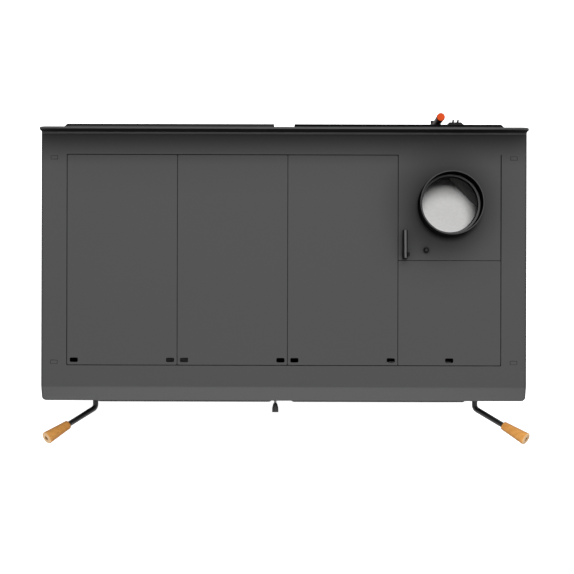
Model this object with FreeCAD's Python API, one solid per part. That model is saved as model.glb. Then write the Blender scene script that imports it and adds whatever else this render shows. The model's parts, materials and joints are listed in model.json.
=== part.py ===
import FreeCAD
import Part
import collections
import math
import os

# A free-standing wood cook stove with a firebox on the left and an oven on the right.
# X runs to the right, Y to the rear and Z up, in millimetres. The origin lies on the floor, below the middle
# of the row of cook plates.

V = FreeCAD.Vector
X_AXIS = V(1, 0, 0)
Y_AXIS = V(0, 1, 0)
Z_AXIS = V(0, 0, 1)

# How far a cut runs past the faces it opens, the reach of a mitre at half of a right angle, and how near a
# measure has to come to count as equal
OVERCUT = 1.0
MITRE = math.tan(math.pi / 8)
NEARLY = 0.01

# Cooktop
COOK_HEIGHT = 850.0
TOP_SHEET = 5.0
LONG_PLATE_PITCH = 259.2
LONG_PLATE_COUNT = 3
SMALL_PLATE_PITCH = 241.8
PLATE_DEPTH = 494.5
PLATE_SEAM = 1.6
PLATE_CORNER = 3.0
SIDE_STRIP = 60.3
FRONT_STRIP = 49.0
REAR_STRIP = 49.0
LIP_RUN = 35.0
LIP_ANGLE = 22.0
LIP_CORNER = 10.0
UPSTAND_HEIGHT = 43.0
BEND_RADIUS = 5.0
SLOT_LENGTH = 19.0
SLOT_WIDTH = 10.5
SLOT_CORNER = 3.0
SLOT_FROM_SIDE = 16.4
SLOT_FROM_FRONT = 12.0

# Ledges and bars below the plates, and the angles that carry the top
PLATE_SEAT = 5.5
LEDGE_WIDTH = 25.0
LEDGE_SHEET = 5.0
BAR_WIDTH = 11.0
BAR_HEIGHT = 20.0
ANGLE_WEB = 30.0
ANGLE_FLANGE = 20.0
ANGLE_SHEET = 3.0
ANGLE_END_GAP = 6.0
TAB_LENGTH = 15.0
TAB_WIDTH = 7.5
TAB_GAP = 0.6
TAB_FROM_SIDE = 30.0
TAB_FROM_BEND = 56.0

# Casing and legs
SIDE_OVERHANG = 18.0
CASING_BEHIND_LIP = 1.25
CASING_BEYOND_REAR_BEND = 3.75
SIDE_SHEET = 2.5
FRONT_SHEET = 4.0
BACK_SHEET = 3.0
BOTTOM_SHEET = 3.0
LEG_HEIGHT = 190.0
LEG_SIZE = 45.0
LEG_WALL = 3.0
LEG_INSET = 40.0
FOOT_SIZE = 70.0
FOOT_SHEET = 8.0
FOOT_CORNER = 8.0
LEG_CAP_SHEET = 5.0
SCREW_HEAD = 12.0
SCREW_HEAD_HEIGHT = 3.5
SCREW_SHANK = 5.0
SIDE_SCREW_PITCH = 200.0

# Rear heat shields
SHIELD_SHEET = 2.0
SHIELD_STANDOFF = 21.0
SHIELD_GAP = 48.0
SHIELD_SIDE_INSET = 27.0
SHIELD_BEVEL = 12.0
SHIELD_TOP_DROP = 20.0
SHIELD_BOTTOM_RISE = 60.0
SPACER_DIAMETER = 16.0
SPACER_INSET = 60.0

# Flue
FLUE_LEFT_OF_MIDDLE = 0.8
FLUE_BEHIND_MIDDLE = 6.5
COLLAR_DIAMETER = 149.0
COLLAR_WALL = 3.6
COLLAR_HEIGHT = 63.0
COLLAR_LEDGE = 6.5
CHAMBER_DEPTH = 77.4
CHAMBER_SHEET = 3.0
CHAMBER_LEFT_REACH = 44.0
CHAMBER_CORNER_CLEARANCE = 1.0

# Flue damper
SPINDLE_DIAMETER = 10.0
SPINDLE_FROM_TONGUE_SIDE = 15.6
SPINDLE_FROM_TONGUE_FRONT = 14.5
RUNNING_CLEARANCE = 0.05
LEVER_WIDTH = 6.0
LEVER_AHEAD = 10.5
LEVER_BEHIND = 56.0
LEVER_BASE = 8.0
LEVER_FLANK_WIDTH = 12.5
LEVER_FLANK_BASE = 11.5
LEVER_FLANK_TOP = 18.0
LEVER_REAR_TOP = 20.0
LEVER_FRONT_TOP = 26.0
HUB_DIAMETER = 12.5
HUB_GAP = 0.5
SIDE_SCREW_DIAMETER = 8.0
SIDE_SCREW_LENGTH = 7.5
SIDE_SCREW_RISE = 15.0
BLADE_RADIUS = 47.0
BLADE_ARM = 152.0
BLADE_ARM_WIDTH = 14.0
BLADE_SHEET = 3.0
BLADE_CLEARANCE = 3.0
BLADE_REST_ANGLE = 115.0
SPINDLE_COLLAR_DIAMETER = 13.0
SPINDLE_COLLAR_HEIGHT = 5.0
STOP_RIGHT = 50.3
STOP_BEHIND = 9.6
STOP_HEAD_DIAMETER = 12.7
STOP_HEAD_HEIGHT = 11.0
STOP_SHANK = 8.0
STOP_NUT_DIAMETER = 15.0
STOP_NUT_HEIGHT = 6.5

# Front: doors above, drawer and clean-out cover below
DOOR_TOP_DROP = 85.0
DOOR_HEIGHT = 370.0
DOOR_STANDOFF = 4.0
DOOR_SHEET = 5.0
DOOR_CORNER = 6.0
PANEL_WIDTH = 425.0
PANEL_DEPTH = 33.0
PANEL_SHEET = 3.0
PANEL_MARGIN = 6.0
PANEL_ROUND = 9.0
PANEL_GAP = 44.0
PANEL_SHIFT = -5.8
LOWER_GAP = 20.0
LOWER_RISE = 35.0
LATCH_SIDE_BEYOND = 32.0

# Hinges
HINGE_FROM_PANEL = 14.4
HINGE_AHEAD = 9.0
PIN_DIAMETER = 8.0
PIN_HEAD_DIAMETER = 12.0
PIN_HEAD_HEIGHT = 3.0
KNUCKLE_DIAMETER = 14.0
KNUCKLE_HEIGHT = 36.0
KNUCKLE_GAP = 0.4
LUG_SHEET = 6.0
LUG_CLEARANCE = 2.0
HINGE_FROM_DOOR_END = 60.0

# Door windows and seals
WINDOW_WIDTH = 300.0
WINDOW_CORNER = 14.0
GLASS_SHEET = 4.0
GLASS_LAP = 12.0
CLIP_WIDTH = 12.0
CLIP_SHEET = 3.0
CLIP_BEYOND = 15.0
CLIP_STUD = 6.0
SIGHT_MARGIN = 16.0
GASKET_WIDTH = 9.0
GASKET_MARGIN = 2.0
GASKET_CLEARANCE = 0.3

# Door handles and latches
ROD_DIAMETER = 14.0
ROD_BEND_AHEAD = 55.0
ROD_BEND_ANGLE = 63.0
ROD_BEND_RADIUS = 14.0
ARM_LENGTH = 161.0
GRIP_LENGTH = 71.0
GRIP_INNER_DIAMETER = 22.0
GRIP_OUTER_DIAMETER = 32.0
GRIP_ROUND = 2.5
GRIP_END_HOLE = 11.0
GRIP_END_DEPTH = 12.0
GRIP_END_WALL = 4.0
GRIP_SCREW_SHANK = 5.0
GRIP_SCREW_HEAD = 9.0
GRIP_SCREW_HEAD_HEIGHT = 3.0
ROSE_DIAMETER = 22.0
ROSE_SHEET = 3.0
ROSE_GAP = 0.3
KEEPER_DIAMETER = 18.0
KEEPER_SHEET = 2.0
ROD_CLEARANCE = 0.08
CAM_SHEET = 5.0
CAM_GAP = 0.5
CAM_HUB = 20.0
CAM_WIDTH = 14.0
CAM_LENGTH = 26.0
CAM_SLOT_CLEARANCE = 1.5

# Firebox
BRICK_THICK = 30.0
BRICK_HEIGHT = 220.0
BRICK_SEAM = 0.6
BRICK_FRONT_INSET = 30.0
SIDE_BRICK_COUNT = 2
BACK_BRICK_COUNT = 3
FIREBOX_WALL = 4.0
FIREBOX_DEPTH = 479.0
FIREBOX_FLOOR_DROP = 10.0
FIREBOX_RIGHT_WALL_HEIGHT = 260.0
FIREBOX_TOP_GAP = 2.0
GRATE_WIDTH = 290.0
GRATE_LENGTH = 340.0
GRATE_HEIGHT = 22.0
GRATE_SEAT = 20.0
GRATE_SLOT_COUNT = 9
GRATE_SLOT = 14.0
GRATE_RIM = 18.0
GRATE_CORNER = 8.0
GRATE_FROM_FRONT = 66.0

# Ash drawer and its air register
TRAY_SIDE_INSET = 28.0
TRAY_RISE = 15.0
TRAY_HEIGHT = 90.0
TRAY_SHEET = 2.0
TRAY_REACH = 450.0
TRAY_FRONT_GAP = 1.0
TRAY_CLEARANCE = 6.0
TRAY_FLOOR_CLEARANCE = 1.5
DRAWER_FRONT_GAP = 0.5
RUNNER_SHEET = 3.0
RUNNER_SEAT = 20.0
RUNNER_SIDE_GAP = 3.0
RUNNER_HEIGHT = 22.0
REGISTER_DIAMETER = 92.0
REGISTER_SHEET = 3.0
REGISTER_GAP = 0.3
REGISTER_HOLE = 24.0
REGISTER_HOLE_CIRCLE = 56.0
REGISTER_HOLE_COUNT = 4
REGISTER_SPINDLE = 8.0
REGISTER_COLLAR = 14.0
REGISTER_COLLAR_HEIGHT = 3.0

# Knobs
PULL_END_DIAMETER = 24.0
PULL_NECK_DIAMETER = 11.0
PULL_LENGTH = 12.0
PULL_ROUND = 3.0
COVER_KNOB_SPREAD = 350.0
COVER_KNOB_SHANK = 8.0

# Clean-out opening
CLEANOUT_WIDTH = 280.0
CLEANOUT_MARGIN = 20.0

# Oven
OVEN_MOUTH_WIDTH = 344.0
OVEN_MOUTH_RISE = 17.0
OVEN_MOUTH_HEIGHT = 282.0
OVEN_SHEET = 3.0
OVEN_DEPTH = 483.0
BOARD_THICK = 20.0
BOARD_RIGHT_REACH = 95.0
GUIDE_WIDTH = 12.0
GUIDE_SHEET = 3.0
GUIDE_RISE = 125.0
GUIDE_FRONT_INSET = 26.0
GUIDE_REAR_INSET = 37.0
RACK_FRAME_WIRE = 6.0
RACK_WIRE = 5.0
RACK_WIRE_COUNT = 12
RACK_SIDE_GAP = 4.0
RACK_LENGTH = 400.0

# Firebox mouth and windows
FIREBOX_MOUTH_WIDTH = 360.0
FIREBOX_MOUTH_RISE = 55.0
FIREBOX_MOUTH_HEIGHT = 285.0
FIREBOX_WINDOW_RISE = 70.0
FIREBOX_WINDOW_HEIGHT = 230.0
OVEN_WINDOW_RISE = 45.0
OVEN_WINDOW_HEIGHT = 165.0
MOUTH_CORNER = 6.0
FIREBOX_HANDLE_OFFSET = 27.0
OVEN_HANDLE_OFFSET = 45.8
FIREBOX_ROLL_ANGLE = 40.2
OVEN_ROLL_ANGLE = 34.8

# Oven thermometer
METER_DIAMETER = 62.0
METER_BODY = 56.0
METER_DEPTH = 11.0
METER_PROUD = 1.5
METER_WALL = 2.5
METER_BACK = 2.0
METER_ABOVE_WINDOW = 47.0
METER_STEM = 8.0
METER_STEM_LENGTH = 56.0
METER_GAP = 0.5
DIAL_SHEET = 1.0
DIAL_GAP = 0.2
NEEDLE_LENGTH = 21.0
NEEDLE_TAIL = 9.0
NEEDLE_WIDTH = 2.4
NEEDLE_SHEET = 0.8
NEEDLE_HUB = 5.0
NEEDLE_LIFT = 1.5
NEEDLE_PIN = 2.0
NEEDLE_REST_ANGLE = 225.0
LENS_SHEET = 1.5
LENS_INSET = 0.5

# Air control
CONTROL_SHIFT = -14.1
CONTROL_DROP = 50.0
CONTROL_ROD = 6.0
CONTROL_KNOB_DIAMETER = 15.4
CONTROL_KNOB_NECK = 6.6
CONTROL_KNOB_LENGTH = 23.5
CONTROL_KNOB_AHEAD = 41.0
SHUTTER_DIAMETER = 44.0
SHUTTER_SHEET = 2.7
SHUTTER_GAP = 0.3
AIR_BOX_HEIGHT = 60.0
AIR_BOX_DEPTH = 44.0
AIR_BOX_WIDTH = 80.0
AIR_BOX_SHEET = 2.0
AIR_HOLE = 36.0
AIR_INLET_LENGTH = 50.0
AIR_INLET_WIDTH = 16.0

# Plate lifter and its holder
LIFTER_FROM_COLLAR = -20.0
LIFTER_BEHIND_SHIELD = 14.5
LIFTER_GRIP_DIAMETER = 19.8
LIFTER_GRIP_LENGTH = 110.0
LIFTER_GRIP_ROUND = 1.5
LIFTER_ROD = 8.0
LIFTER_ROD_LENGTH = 180.0
LIFTER_ROD_SOCKET = 60.0
LIFTER_HOOK_REACH = 12.0
LIFTER_HOOK_HEIGHT = 10.0
LIFTER_HOOK_WIDTH = 6.0
HOLDER_SHEET = 3.0
HOLDER_HEIGHT = 40.0
HOLDER_BACK_SHEET = 2.5
FORK_GAP = 0.3
FORK_TINE = 8.0
FORK_REACH = 10.0
HOOK_SHELF_LEFT = 28.2
HOOK_SHELF_WIDTH = 39.0
HOOK_SHELF_DEPTH = 20.6
HOOK_SHELF_CHAMFER = 5.0
PRONG_WIDTH = 4.0
PRONG_REACH = 4.5
PRONG_TIP = 8.0
PRONG_PITCH = 11.5

# Places worked out from the sizes above
ROW_WIDTH = LONG_PLATE_COUNT * LONG_PLATE_PITCH + SMALL_PLATE_PITCH
ROW_LEFT = -ROW_WIDTH / 2
ROW_RIGHT = ROW_WIDTH / 2
PLATES_HALF = PLATE_DEPTH / 2
SEAM_HALF = PLATE_SEAM / 2
TONGUE_LEFT = ROW_LEFT + LONG_PLATE_COUNT * LONG_PLATE_PITCH
TOP_HALF = ROW_WIDTH / 2 + SIDE_STRIP
TOP_UNDER = COOK_HEIGHT - TOP_SHEET
FRONT_BEND = -PLATES_HALF - FRONT_STRIP
REAR_BEND = PLATES_HALF + REAR_STRIP
UPSTAND_REAR = REAR_BEND + BEND_RADIUS + TOP_SHEET
LIP_FRONT = FRONT_BEND - LIP_RUN

CASING_HALF = TOP_HALF - SIDE_OVERHANG
CASING_INNER = CASING_HALF - SIDE_SHEET
CASING_FRONT = FRONT_BEND + CASING_BEHIND_LIP
CASING_BACK = REAR_BEND + CASING_BEYOND_REAR_BEND
INSIDE_FRONT = CASING_FRONT + FRONT_SHEET
INSIDE_BACK = CASING_BACK - BACK_SHEET

SMALL_PLATE_MIDDLE = (TONGUE_LEFT + ROW_RIGHT) / 2
FLUE_X = SMALL_PLATE_MIDDLE - FLUE_LEFT_OF_MIDDLE
FLUE_Y = PLATES_HALF / 2 + FLUE_BEHIND_MIDDLE
COLLAR_BORE = COLLAR_DIAMETER - 2 * COLLAR_WALL
FLUE_HOLE = COLLAR_BORE - 2 * COLLAR_LEDGE
SPINDLE_X = TONGUE_LEFT + SPINDLE_FROM_TONGUE_SIDE
SPINDLE_Y = SPINDLE_FROM_TONGUE_FRONT
BLADE_TOP = TOP_UNDER - BAR_HEIGHT - BLADE_CLEARANCE
STOP_X = SPINDLE_X + STOP_RIGHT
STOP_Y = SPINDLE_Y + STOP_BEHIND

SHIELD_FRONT = CASING_BACK + SHIELD_STANDOFF
SHIELD_REAR = SHIELD_FRONT + SHIELD_SHEET
SHIELD_OUTER = CASING_HALF - SHIELD_SIDE_INSET
SHIELD_TOP = COOK_HEIGHT - SHIELD_TOP_DROP
SHIELD_BOTTOM = LEG_HEIGHT + SHIELD_BOTTOM_RISE

DOOR_TOP = COOK_HEIGHT - DOOR_TOP_DROP
DOOR_BOTTOM = DOOR_TOP - DOOR_HEIGHT
LOWER_TOP = DOOR_BOTTOM - LOWER_GAP
LOWER_BOTTOM = LEG_HEIGHT + LOWER_RISE
LOWER_MIDDLE = (LOWER_TOP + LOWER_BOTTOM) / 2
PLATE_REAR = CASING_FRONT - DOOR_STANDOFF
PLATE_FRONT = PLATE_REAR - DOOR_SHEET
PANEL_FRONT = PLATE_FRONT - PANEL_DEPTH
PANEL_INNER = PANEL_FRONT + PANEL_SHEET
HINGE_Y = PLATE_FRONT - HINGE_AHEAD
PANEL_FAR = HINGE_FROM_PANEL + PANEL_WIDTH
PANEL_MIDDLE = HINGE_FROM_PANEL + PANEL_WIDTH / 2
LUG_HALF = KNUCKLE_DIAMETER / 2
HANDLE_Z = (DOOR_BOTTOM + DOOR_TOP) / 2
FIREBOX_FLOOR_TOP = DOOR_BOTTOM + FIREBOX_MOUTH_RISE - FIREBOX_FLOOR_DROP
TRAY_BOTTOM = LOWER_BOTTOM + TRAY_RISE
CONTROL_X = PANEL_SHIFT + CONTROL_SHIFT
CONTROL_Z = COOK_HEIGHT - CONTROL_DROP
LIFTER_X = FLUE_X + LIFTER_FROM_COLLAR
LIFTER_Y = SHIELD_REAR + LIFTER_BEHIND_SHIELD
HOLDER_TOP = COOK_HEIGHT - LIFTER_GRIP_LENGTH

# A door is laid out by its distance from the hinge pin, to the left for the firebox and to the right for
# the oven.
Door = collections.namedtuple(
    "Door",
    "name side hinge handle roll mouth_width mouth_bottom mouth_top window_bottom window_top",
)

FIREBOX_DOOR = Door(
    name="firebox",
    side=-1,
    hinge=PANEL_SHIFT - PANEL_GAP / 2 + HINGE_FROM_PANEL,
    handle=PANEL_FAR + FIREBOX_HANDLE_OFFSET,
    roll=FIREBOX_ROLL_ANGLE,
    mouth_width=FIREBOX_MOUTH_WIDTH,
    mouth_bottom=DOOR_BOTTOM + FIREBOX_MOUTH_RISE,
    mouth_top=DOOR_BOTTOM + FIREBOX_MOUTH_RISE + FIREBOX_MOUTH_HEIGHT,
    window_bottom=DOOR_BOTTOM + FIREBOX_WINDOW_RISE,
    window_top=DOOR_BOTTOM + FIREBOX_WINDOW_RISE + FIREBOX_WINDOW_HEIGHT,
)
OVEN_DOOR = Door(
    name="oven",
    side=1,
    hinge=PANEL_SHIFT + PANEL_GAP / 2 - HINGE_FROM_PANEL,
    handle=PANEL_FAR + OVEN_HANDLE_OFFSET,
    roll=OVEN_ROLL_ANGLE,
    mouth_width=OVEN_MOUTH_WIDTH,
    mouth_bottom=DOOR_BOTTOM + OVEN_MOUTH_RISE,
    mouth_top=DOOR_BOTTOM + OVEN_MOUTH_RISE + OVEN_MOUTH_HEIGHT,
    window_bottom=DOOR_BOTTOM + OVEN_WINDOW_RISE,
    window_top=DOOR_BOTTOM + OVEN_WINDOW_RISE + OVEN_WINDOW_HEIGHT,
)
DOORS = (FIREBOX_DOOR, OVEN_DOOR)


# Basic shapes
def block(x0, x1, y0, y1, z0, z1):
    """A box between two corners, given in any order."""
    corner = V(min(x0, x1), min(y0, y1), min(z0, z1))
    return Part.makeBox(abs(x1 - x0), abs(y1 - y0), abs(z1 - z0), corner)


def upright(x, y, z0, z1, diameter):
    """A round bar along Z."""
    return Part.makeCylinder(diameter / 2, z1 - z0, V(x, y, z0), Z_AXIS)


def along_y(x, z, y0, y1, diameter):
    """A round bar along Y."""
    return Part.makeCylinder(diameter / 2, y1 - y0, V(x, y0, z), Y_AXIS)


def along_x(y, z, x0, x1, diameter):
    """A round bar along X."""
    return Part.makeCylinder(diameter / 2, abs(x1 - x0), V(min(x0, x1), y, z), X_AXIS)


def prism(points, sweep):
    """A straight prism over a closed polygon."""
    return Part.Face(Part.makePolygon(points + points[:1])).extrude(sweep)


def rounded(shape, axis, radius):
    """A shape whose straight edges along an axis are rounded."""
    edges = []
    for edge in shape.Edges:
        span = edge.Vertexes[-1].Point - edge.Vertexes[0].Point
        if span.Length > 0 and abs(span.normalize() * axis) > 1 - NEARLY:
            edges.append(edge)
    return shape.makeFillet(radius, edges)


def joined(*shapes):
    """Shapes that are one piece of metal."""
    return shapes[0].fuse(list(shapes[1:])).removeSplitter()


def save(name, *solids):
    """Writes one node, as a single solid or as a group of separate solids."""
    shape = solids[0] if len(solids) == 1 else Part.makeCompound(list(solids))
    shape.exportStep(os.path.join("parts", name + ".step"))


# Cooktop
def top_profile():
    """The bent sheet seen from the side: sloped front lip, flat top, rear upstand."""
    slope = math.radians(LIP_ANGLE)
    drop = LIP_RUN * math.tan(slope)
    rise = COOK_HEIGHT + UPSTAND_HEIGHT
    bend = COOK_HEIGHT + BEND_RADIUS
    inner = REAR_BEND + BEND_RADIUS
    half_turn = math.sqrt(0.5)
    inner_mid = V(0, REAR_BEND + BEND_RADIUS * half_turn, bend - BEND_RADIUS * half_turn)
    outer_radius = BEND_RADIUS + TOP_SHEET
    outer_mid = V(0, REAR_BEND + outer_radius * half_turn, bend - outer_radius * half_turn)
    lip_top = V(0, LIP_FRONT, COOK_HEIGHT - drop)
    lip_under = lip_top + V(0, TOP_SHEET * math.sin(slope), -TOP_SHEET * math.cos(slope))
    under_bend = V(0, FRONT_BEND + TOP_SHEET * math.tan(slope / 2), TOP_UNDER)
    corners = [V(0, REAR_BEND, COOK_HEIGHT), V(0, FRONT_BEND, COOK_HEIGHT), lip_top, lip_under, under_bend,
               V(0, REAR_BEND, TOP_UNDER)]
    edges = [Part.LineSegment(a, b).toShape() for a, b in zip(corners, corners[1:])]
    edges.append(Part.Arc(corners[-1], outer_mid, V(0, UPSTAND_REAR, bend)).toShape())
    edges.append(Part.LineSegment(V(0, UPSTAND_REAR, bend), V(0, UPSTAND_REAR, rise)).toShape())
    edges.append(Part.LineSegment(V(0, UPSTAND_REAR, rise), V(0, inner, rise)).toShape())
    edges.append(Part.LineSegment(V(0, inner, rise), V(0, inner, bend)).toShape())
    edges.append(Part.Arc(V(0, inner, bend), inner_mid, corners[0]).toShape())
    return Part.Face(Part.Wire(edges))


def lip_corner_trim(side):
    """What is cut from the top to round one front corner of the lip."""
    edge = side * TOP_HALF
    inner = side * (TOP_HALF - LIP_CORNER)
    back = LIP_FRONT + LIP_CORNER
    high = COOK_HEIGHT + OVERCUT
    square = block(inner, edge + side * OVERCUT, LIP_FRONT - OVERCUT, back, 0, high)
    return square.cut(upright(inner, back, 0, high, 2 * LIP_CORNER))


def tab_places():
    """Centres of the four locating tabs in the side strips."""
    x = TOP_HALF - TAB_FROM_SIDE
    front = FRONT_BEND + TAB_FROM_BEND
    rear = REAR_BEND - TAB_FROM_BEND
    return [(side * x, y) for side in (-1, 1) for y in (front, rear)]


def make_top_frame():
    """Top sheet with the plate opening, the flue tongue and its holes."""
    frame = top_profile().extrude(V(2 * TOP_HALF, 0, 0))
    frame.translate(V(-TOP_HALF, 0, 0))
    low = TOP_UNDER - OVERCUT
    high = COOK_HEIGHT + OVERCUT
    front = -PLATES_HALF - SEAM_HALF
    rear = PLATES_HALF + SEAM_HALF
    cuts = [
        block(ROW_LEFT - SEAM_HALF, TONGUE_LEFT + SEAM_HALF, front, rear, low, high),
        block(TONGUE_LEFT, ROW_RIGHT + SEAM_HALF, front, SEAM_HALF, low, high),
        block(ROW_RIGHT - SEAM_HALF, ROW_RIGHT + SEAM_HALF, 0, rear, low, high),
        upright(FLUE_X, FLUE_Y, low, high, FLUE_HOLE),
        upright(SPINDLE_X, SPINDLE_Y, low, high, SPINDLE_DIAMETER + 2 * RUNNING_CLEARANCE),
        upright(STOP_X, STOP_Y, low, high, STOP_SHANK),
        lip_corner_trim(-1),
        lip_corner_trim(1),
    ]
    for x, y in tab_places():
        half_length = TAB_LENGTH / 2 + TAB_GAP
        half_width = TAB_WIDTH / 2 + TAB_GAP
        cuts.append(block(x - half_length, x + half_length, y - half_width, y + half_width, low, high))
    return frame.cut(cuts)


def lift_slot(x, y):
    """One rounded slot for the plate lifter."""
    half_x = SLOT_LENGTH / 2
    half_y = SLOT_WIDTH / 2
    slot = block(x - half_x, x + half_x, y - half_y, y + half_y, TOP_UNDER - OVERCUT, COOK_HEIGHT + OVERCUT)
    return rounded(slot, Z_AXIS, SLOT_CORNER)


def cook_plate(x0, x1, rear, slots):
    """A loose plate that fills its cell but for half a seam on each side."""
    front = -PLATES_HALF
    plate = block(x0 + SEAM_HALF, x1 - SEAM_HALF, front + SEAM_HALF, rear - SEAM_HALF, TOP_UNDER, COOK_HEIGHT)
    plate = rounded(plate, Z_AXIS, PLATE_CORNER)
    return plate.cut([lift_slot(x, front + SLOT_FROM_FRONT) for x in slots])


def make_plates():
    """Three long plates, then the small one ahead of the flue tongue."""
    for index in range(LONG_PLATE_COUNT):
        x0 = ROW_LEFT + index * LONG_PLATE_PITCH
        x1 = x0 + LONG_PLATE_PITCH
        slots = [x0 + SLOT_FROM_SIDE, x1 - SLOT_FROM_SIDE]
        save("cook_plate_%d" % (index + 1), cook_plate(x0, x1, PLATES_HALF, slots))
    save("small_cook_plate", cook_plate(TONGUE_LEFT, ROW_RIGHT, 0, [SMALL_PLATE_MIDDLE]))


def make_plate_supports():
    """Ledges under the edges of the opening and bars under the seams."""
    outside = LEDGE_WIDTH - PLATE_SEAT
    low = TOP_UNDER - LEDGE_SHEET
    inner_front = -PLATES_HALF + PLATE_SEAT
    inner_rear = PLATES_HALF - PLATE_SEAT
    bar_half = BAR_WIDTH / 2
    bar_low = TOP_UNDER - BAR_HEIGHT
    left = ROW_LEFT - outside
    right = ROW_RIGHT + outside
    solids = [
        block(left, right, -PLATES_HALF - outside, inner_front, low, TOP_UNDER),
        block(left, TONGUE_LEFT + bar_half, inner_rear, PLATES_HALF + outside, low, TOP_UNDER),
        block(left, ROW_LEFT + PLATE_SEAT, inner_front, inner_rear, low, TOP_UNDER),
        block(ROW_RIGHT - PLATE_SEAT, right, inner_front, bar_half, low, TOP_UNDER),
        block(TONGUE_LEFT + bar_half, ROW_RIGHT - PLATE_SEAT, -bar_half, bar_half, bar_low, TOP_UNDER),
    ]
    for index in range(1, LONG_PLATE_COUNT + 1):
        x = ROW_LEFT + index * LONG_PLATE_PITCH
        solids.append(block(x - bar_half, x + bar_half, inner_front, inner_rear, bar_low, TOP_UNDER))
    save("plate_supports", *solids)


# Flue and damper
def make_flue():
    """Collar on the tongue, and the bent wall of the chamber below it."""
    top = COOK_HEIGHT + COLLAR_HEIGHT
    tube = upright(FLUE_X, FLUE_Y, COOK_HEIGHT, top, COLLAR_DIAMETER)
    save("flue_collar", tube.cut(upright(FLUE_X, FLUE_Y, COOK_HEIGHT, top, COLLAR_BORE)))

    rear = FLUE_Y + CHAMBER_DEPTH
    corner_sum = FLUE_X + FLUE_Y + (FLUE_HOLE / 2 + CHAMBER_CORNER_CLEARANCE) * math.sqrt(2)
    left = FLUE_X - CHAMBER_LEFT_REACH
    right = BOARD_RIGHT
    along = CHAMBER_SHEET * MITRE
    aside = CHAMBER_SHEET * math.sqrt(0.5)
    points = [
        V(left, rear, BOARD_TOP),
        V(corner_sum - rear, rear, BOARD_TOP),
        V(right - aside, corner_sum - right + aside, BOARD_TOP),
        V(right, corner_sum - right + 2 * aside, BOARD_TOP),
        V(corner_sum - rear + along, rear + CHAMBER_SHEET, BOARD_TOP),
        V(left, rear + CHAMBER_SHEET, BOARD_TOP),
    ]
    save("flue_chamber_wall", prism(points, V(0, 0, TOP_UNDER - BOARD_TOP)))


def make_damper():
    """Lever above the tongue, spindle and swinging blade below it, and the stop bolt."""
    low = COOK_HEIGHT + LEVER_BASE
    x0 = SPINDLE_X - LEVER_WIDTH / 2
    front = SPINDLE_Y - LEVER_AHEAD
    rear = SPINDLE_Y + LEVER_BEHIND
    points = [V(x0, front, low), V(x0, rear, low), V(x0, rear, COOK_HEIGHT + LEVER_REAR_TOP),
              V(x0, front, COOK_HEIGHT + LEVER_FRONT_TOP)]
    bar = prism(points, V(LEVER_WIDTH, 0, 0))
    foot = COOK_HEIGHT + LEVER_FLANK_BASE
    shoulder = COOK_HEIGHT + LEVER_FLANK_TOP
    half = LEVER_FLANK_WIDTH / 2
    section = [V(SPINDLE_X - half, front, foot), V(SPINDLE_X + half, front, foot),
               V(x0 + LEVER_WIDTH, front, shoulder), V(x0, front, shoulder)]
    flanks = prism(section, V(0, rear - front, 0))
    hub = upright(SPINDLE_X, SPINDLE_Y, COOK_HEIGHT + HUB_GAP, COOK_HEIGHT + LEVER_REAR_TOP, HUB_DIAMETER)
    screw_z = COOK_HEIGHT + SIDE_SCREW_RISE
    screw_end = SPINDLE_X + LEVER_WIDTH / 2 + SIDE_SCREW_LENGTH
    screw = along_x(SPINDLE_Y, screw_z, SPINDLE_X, screw_end, SIDE_SCREW_DIAMETER)
    bore = upright(SPINDLE_X, SPINDLE_Y, COOK_HEIGHT, COOK_HEIGHT + SIDE_SCREW_RISE, SPINDLE_DIAMETER)
    save("damper_lever", joined(bar, flanks, hub, screw).cut(bore))

    turn = math.radians(BLADE_REST_ANGLE)
    blade_x = SPINDLE_X + BLADE_ARM * math.cos(turn)
    blade_y = SPINDLE_Y + BLADE_ARM * math.sin(turn)
    blade_low = BLADE_TOP - BLADE_SHEET
    spindle = upright(SPINDLE_X, SPINDLE_Y, blade_low, COOK_HEIGHT + SIDE_SCREW_RISE, SPINDLE_DIAMETER)
    collar_top = TOP_UNDER - HUB_GAP
    collar_low = collar_top - SPINDLE_COLLAR_HEIGHT
    collar = upright(SPINDLE_X, SPINDLE_Y, collar_low, collar_top, SPINDLE_COLLAR_DIAMETER)
    disc = upright(blade_x, blade_y, blade_low, BLADE_TOP, 2 * BLADE_RADIUS)
    arm = block(0, BLADE_ARM, -BLADE_ARM_WIDTH / 2, BLADE_ARM_WIDTH / 2, blade_low, BLADE_TOP)
    arm.rotate(V(0, 0, 0), Z_AXIS, BLADE_REST_ANGLE)
    arm.translate(V(SPINDLE_X, SPINDLE_Y, 0))
    root = upright(SPINDLE_X, SPINDLE_Y, blade_low, BLADE_TOP, BLADE_ARM_WIDTH)
    save("damper_blade", joined(spindle, collar, disc, arm, root))


def make_stop_bolt():
    """Bolt through the tongue that the lever swings against, with its nut below."""
    head = upright(STOP_X, STOP_Y, COOK_HEIGHT, COOK_HEIGHT + STOP_HEAD_HEIGHT, STOP_HEAD_DIAMETER)
    shank = upright(STOP_X, STOP_Y, TOP_UNDER - STOP_NUT_HEIGHT, COOK_HEIGHT, STOP_SHANK)
    nut = upright(STOP_X, STOP_Y, TOP_UNDER - STOP_NUT_HEIGHT, TOP_UNDER, STOP_NUT_DIAMETER)
    save("damper_stop_bolt", joined(head, shank, nut))


# Casing
def side_screw_places():
    """Heights and depths of the screws that hold a side panel to its top angle."""
    z = TOP_UNDER - ANGLE_WEB / 2
    return [(step * SIDE_SCREW_PITCH, z) for step in (-1, 0, 1)]


def locating_tab(x, y):
    """A tab of a top angle that stands up through the top."""
    half_x = TAB_LENGTH / 2
    half_y = TAB_WIDTH / 2
    return block(x - half_x, x + half_x, y - half_y, y + half_y, TOP_UNDER, COOK_HEIGHT)


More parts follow.
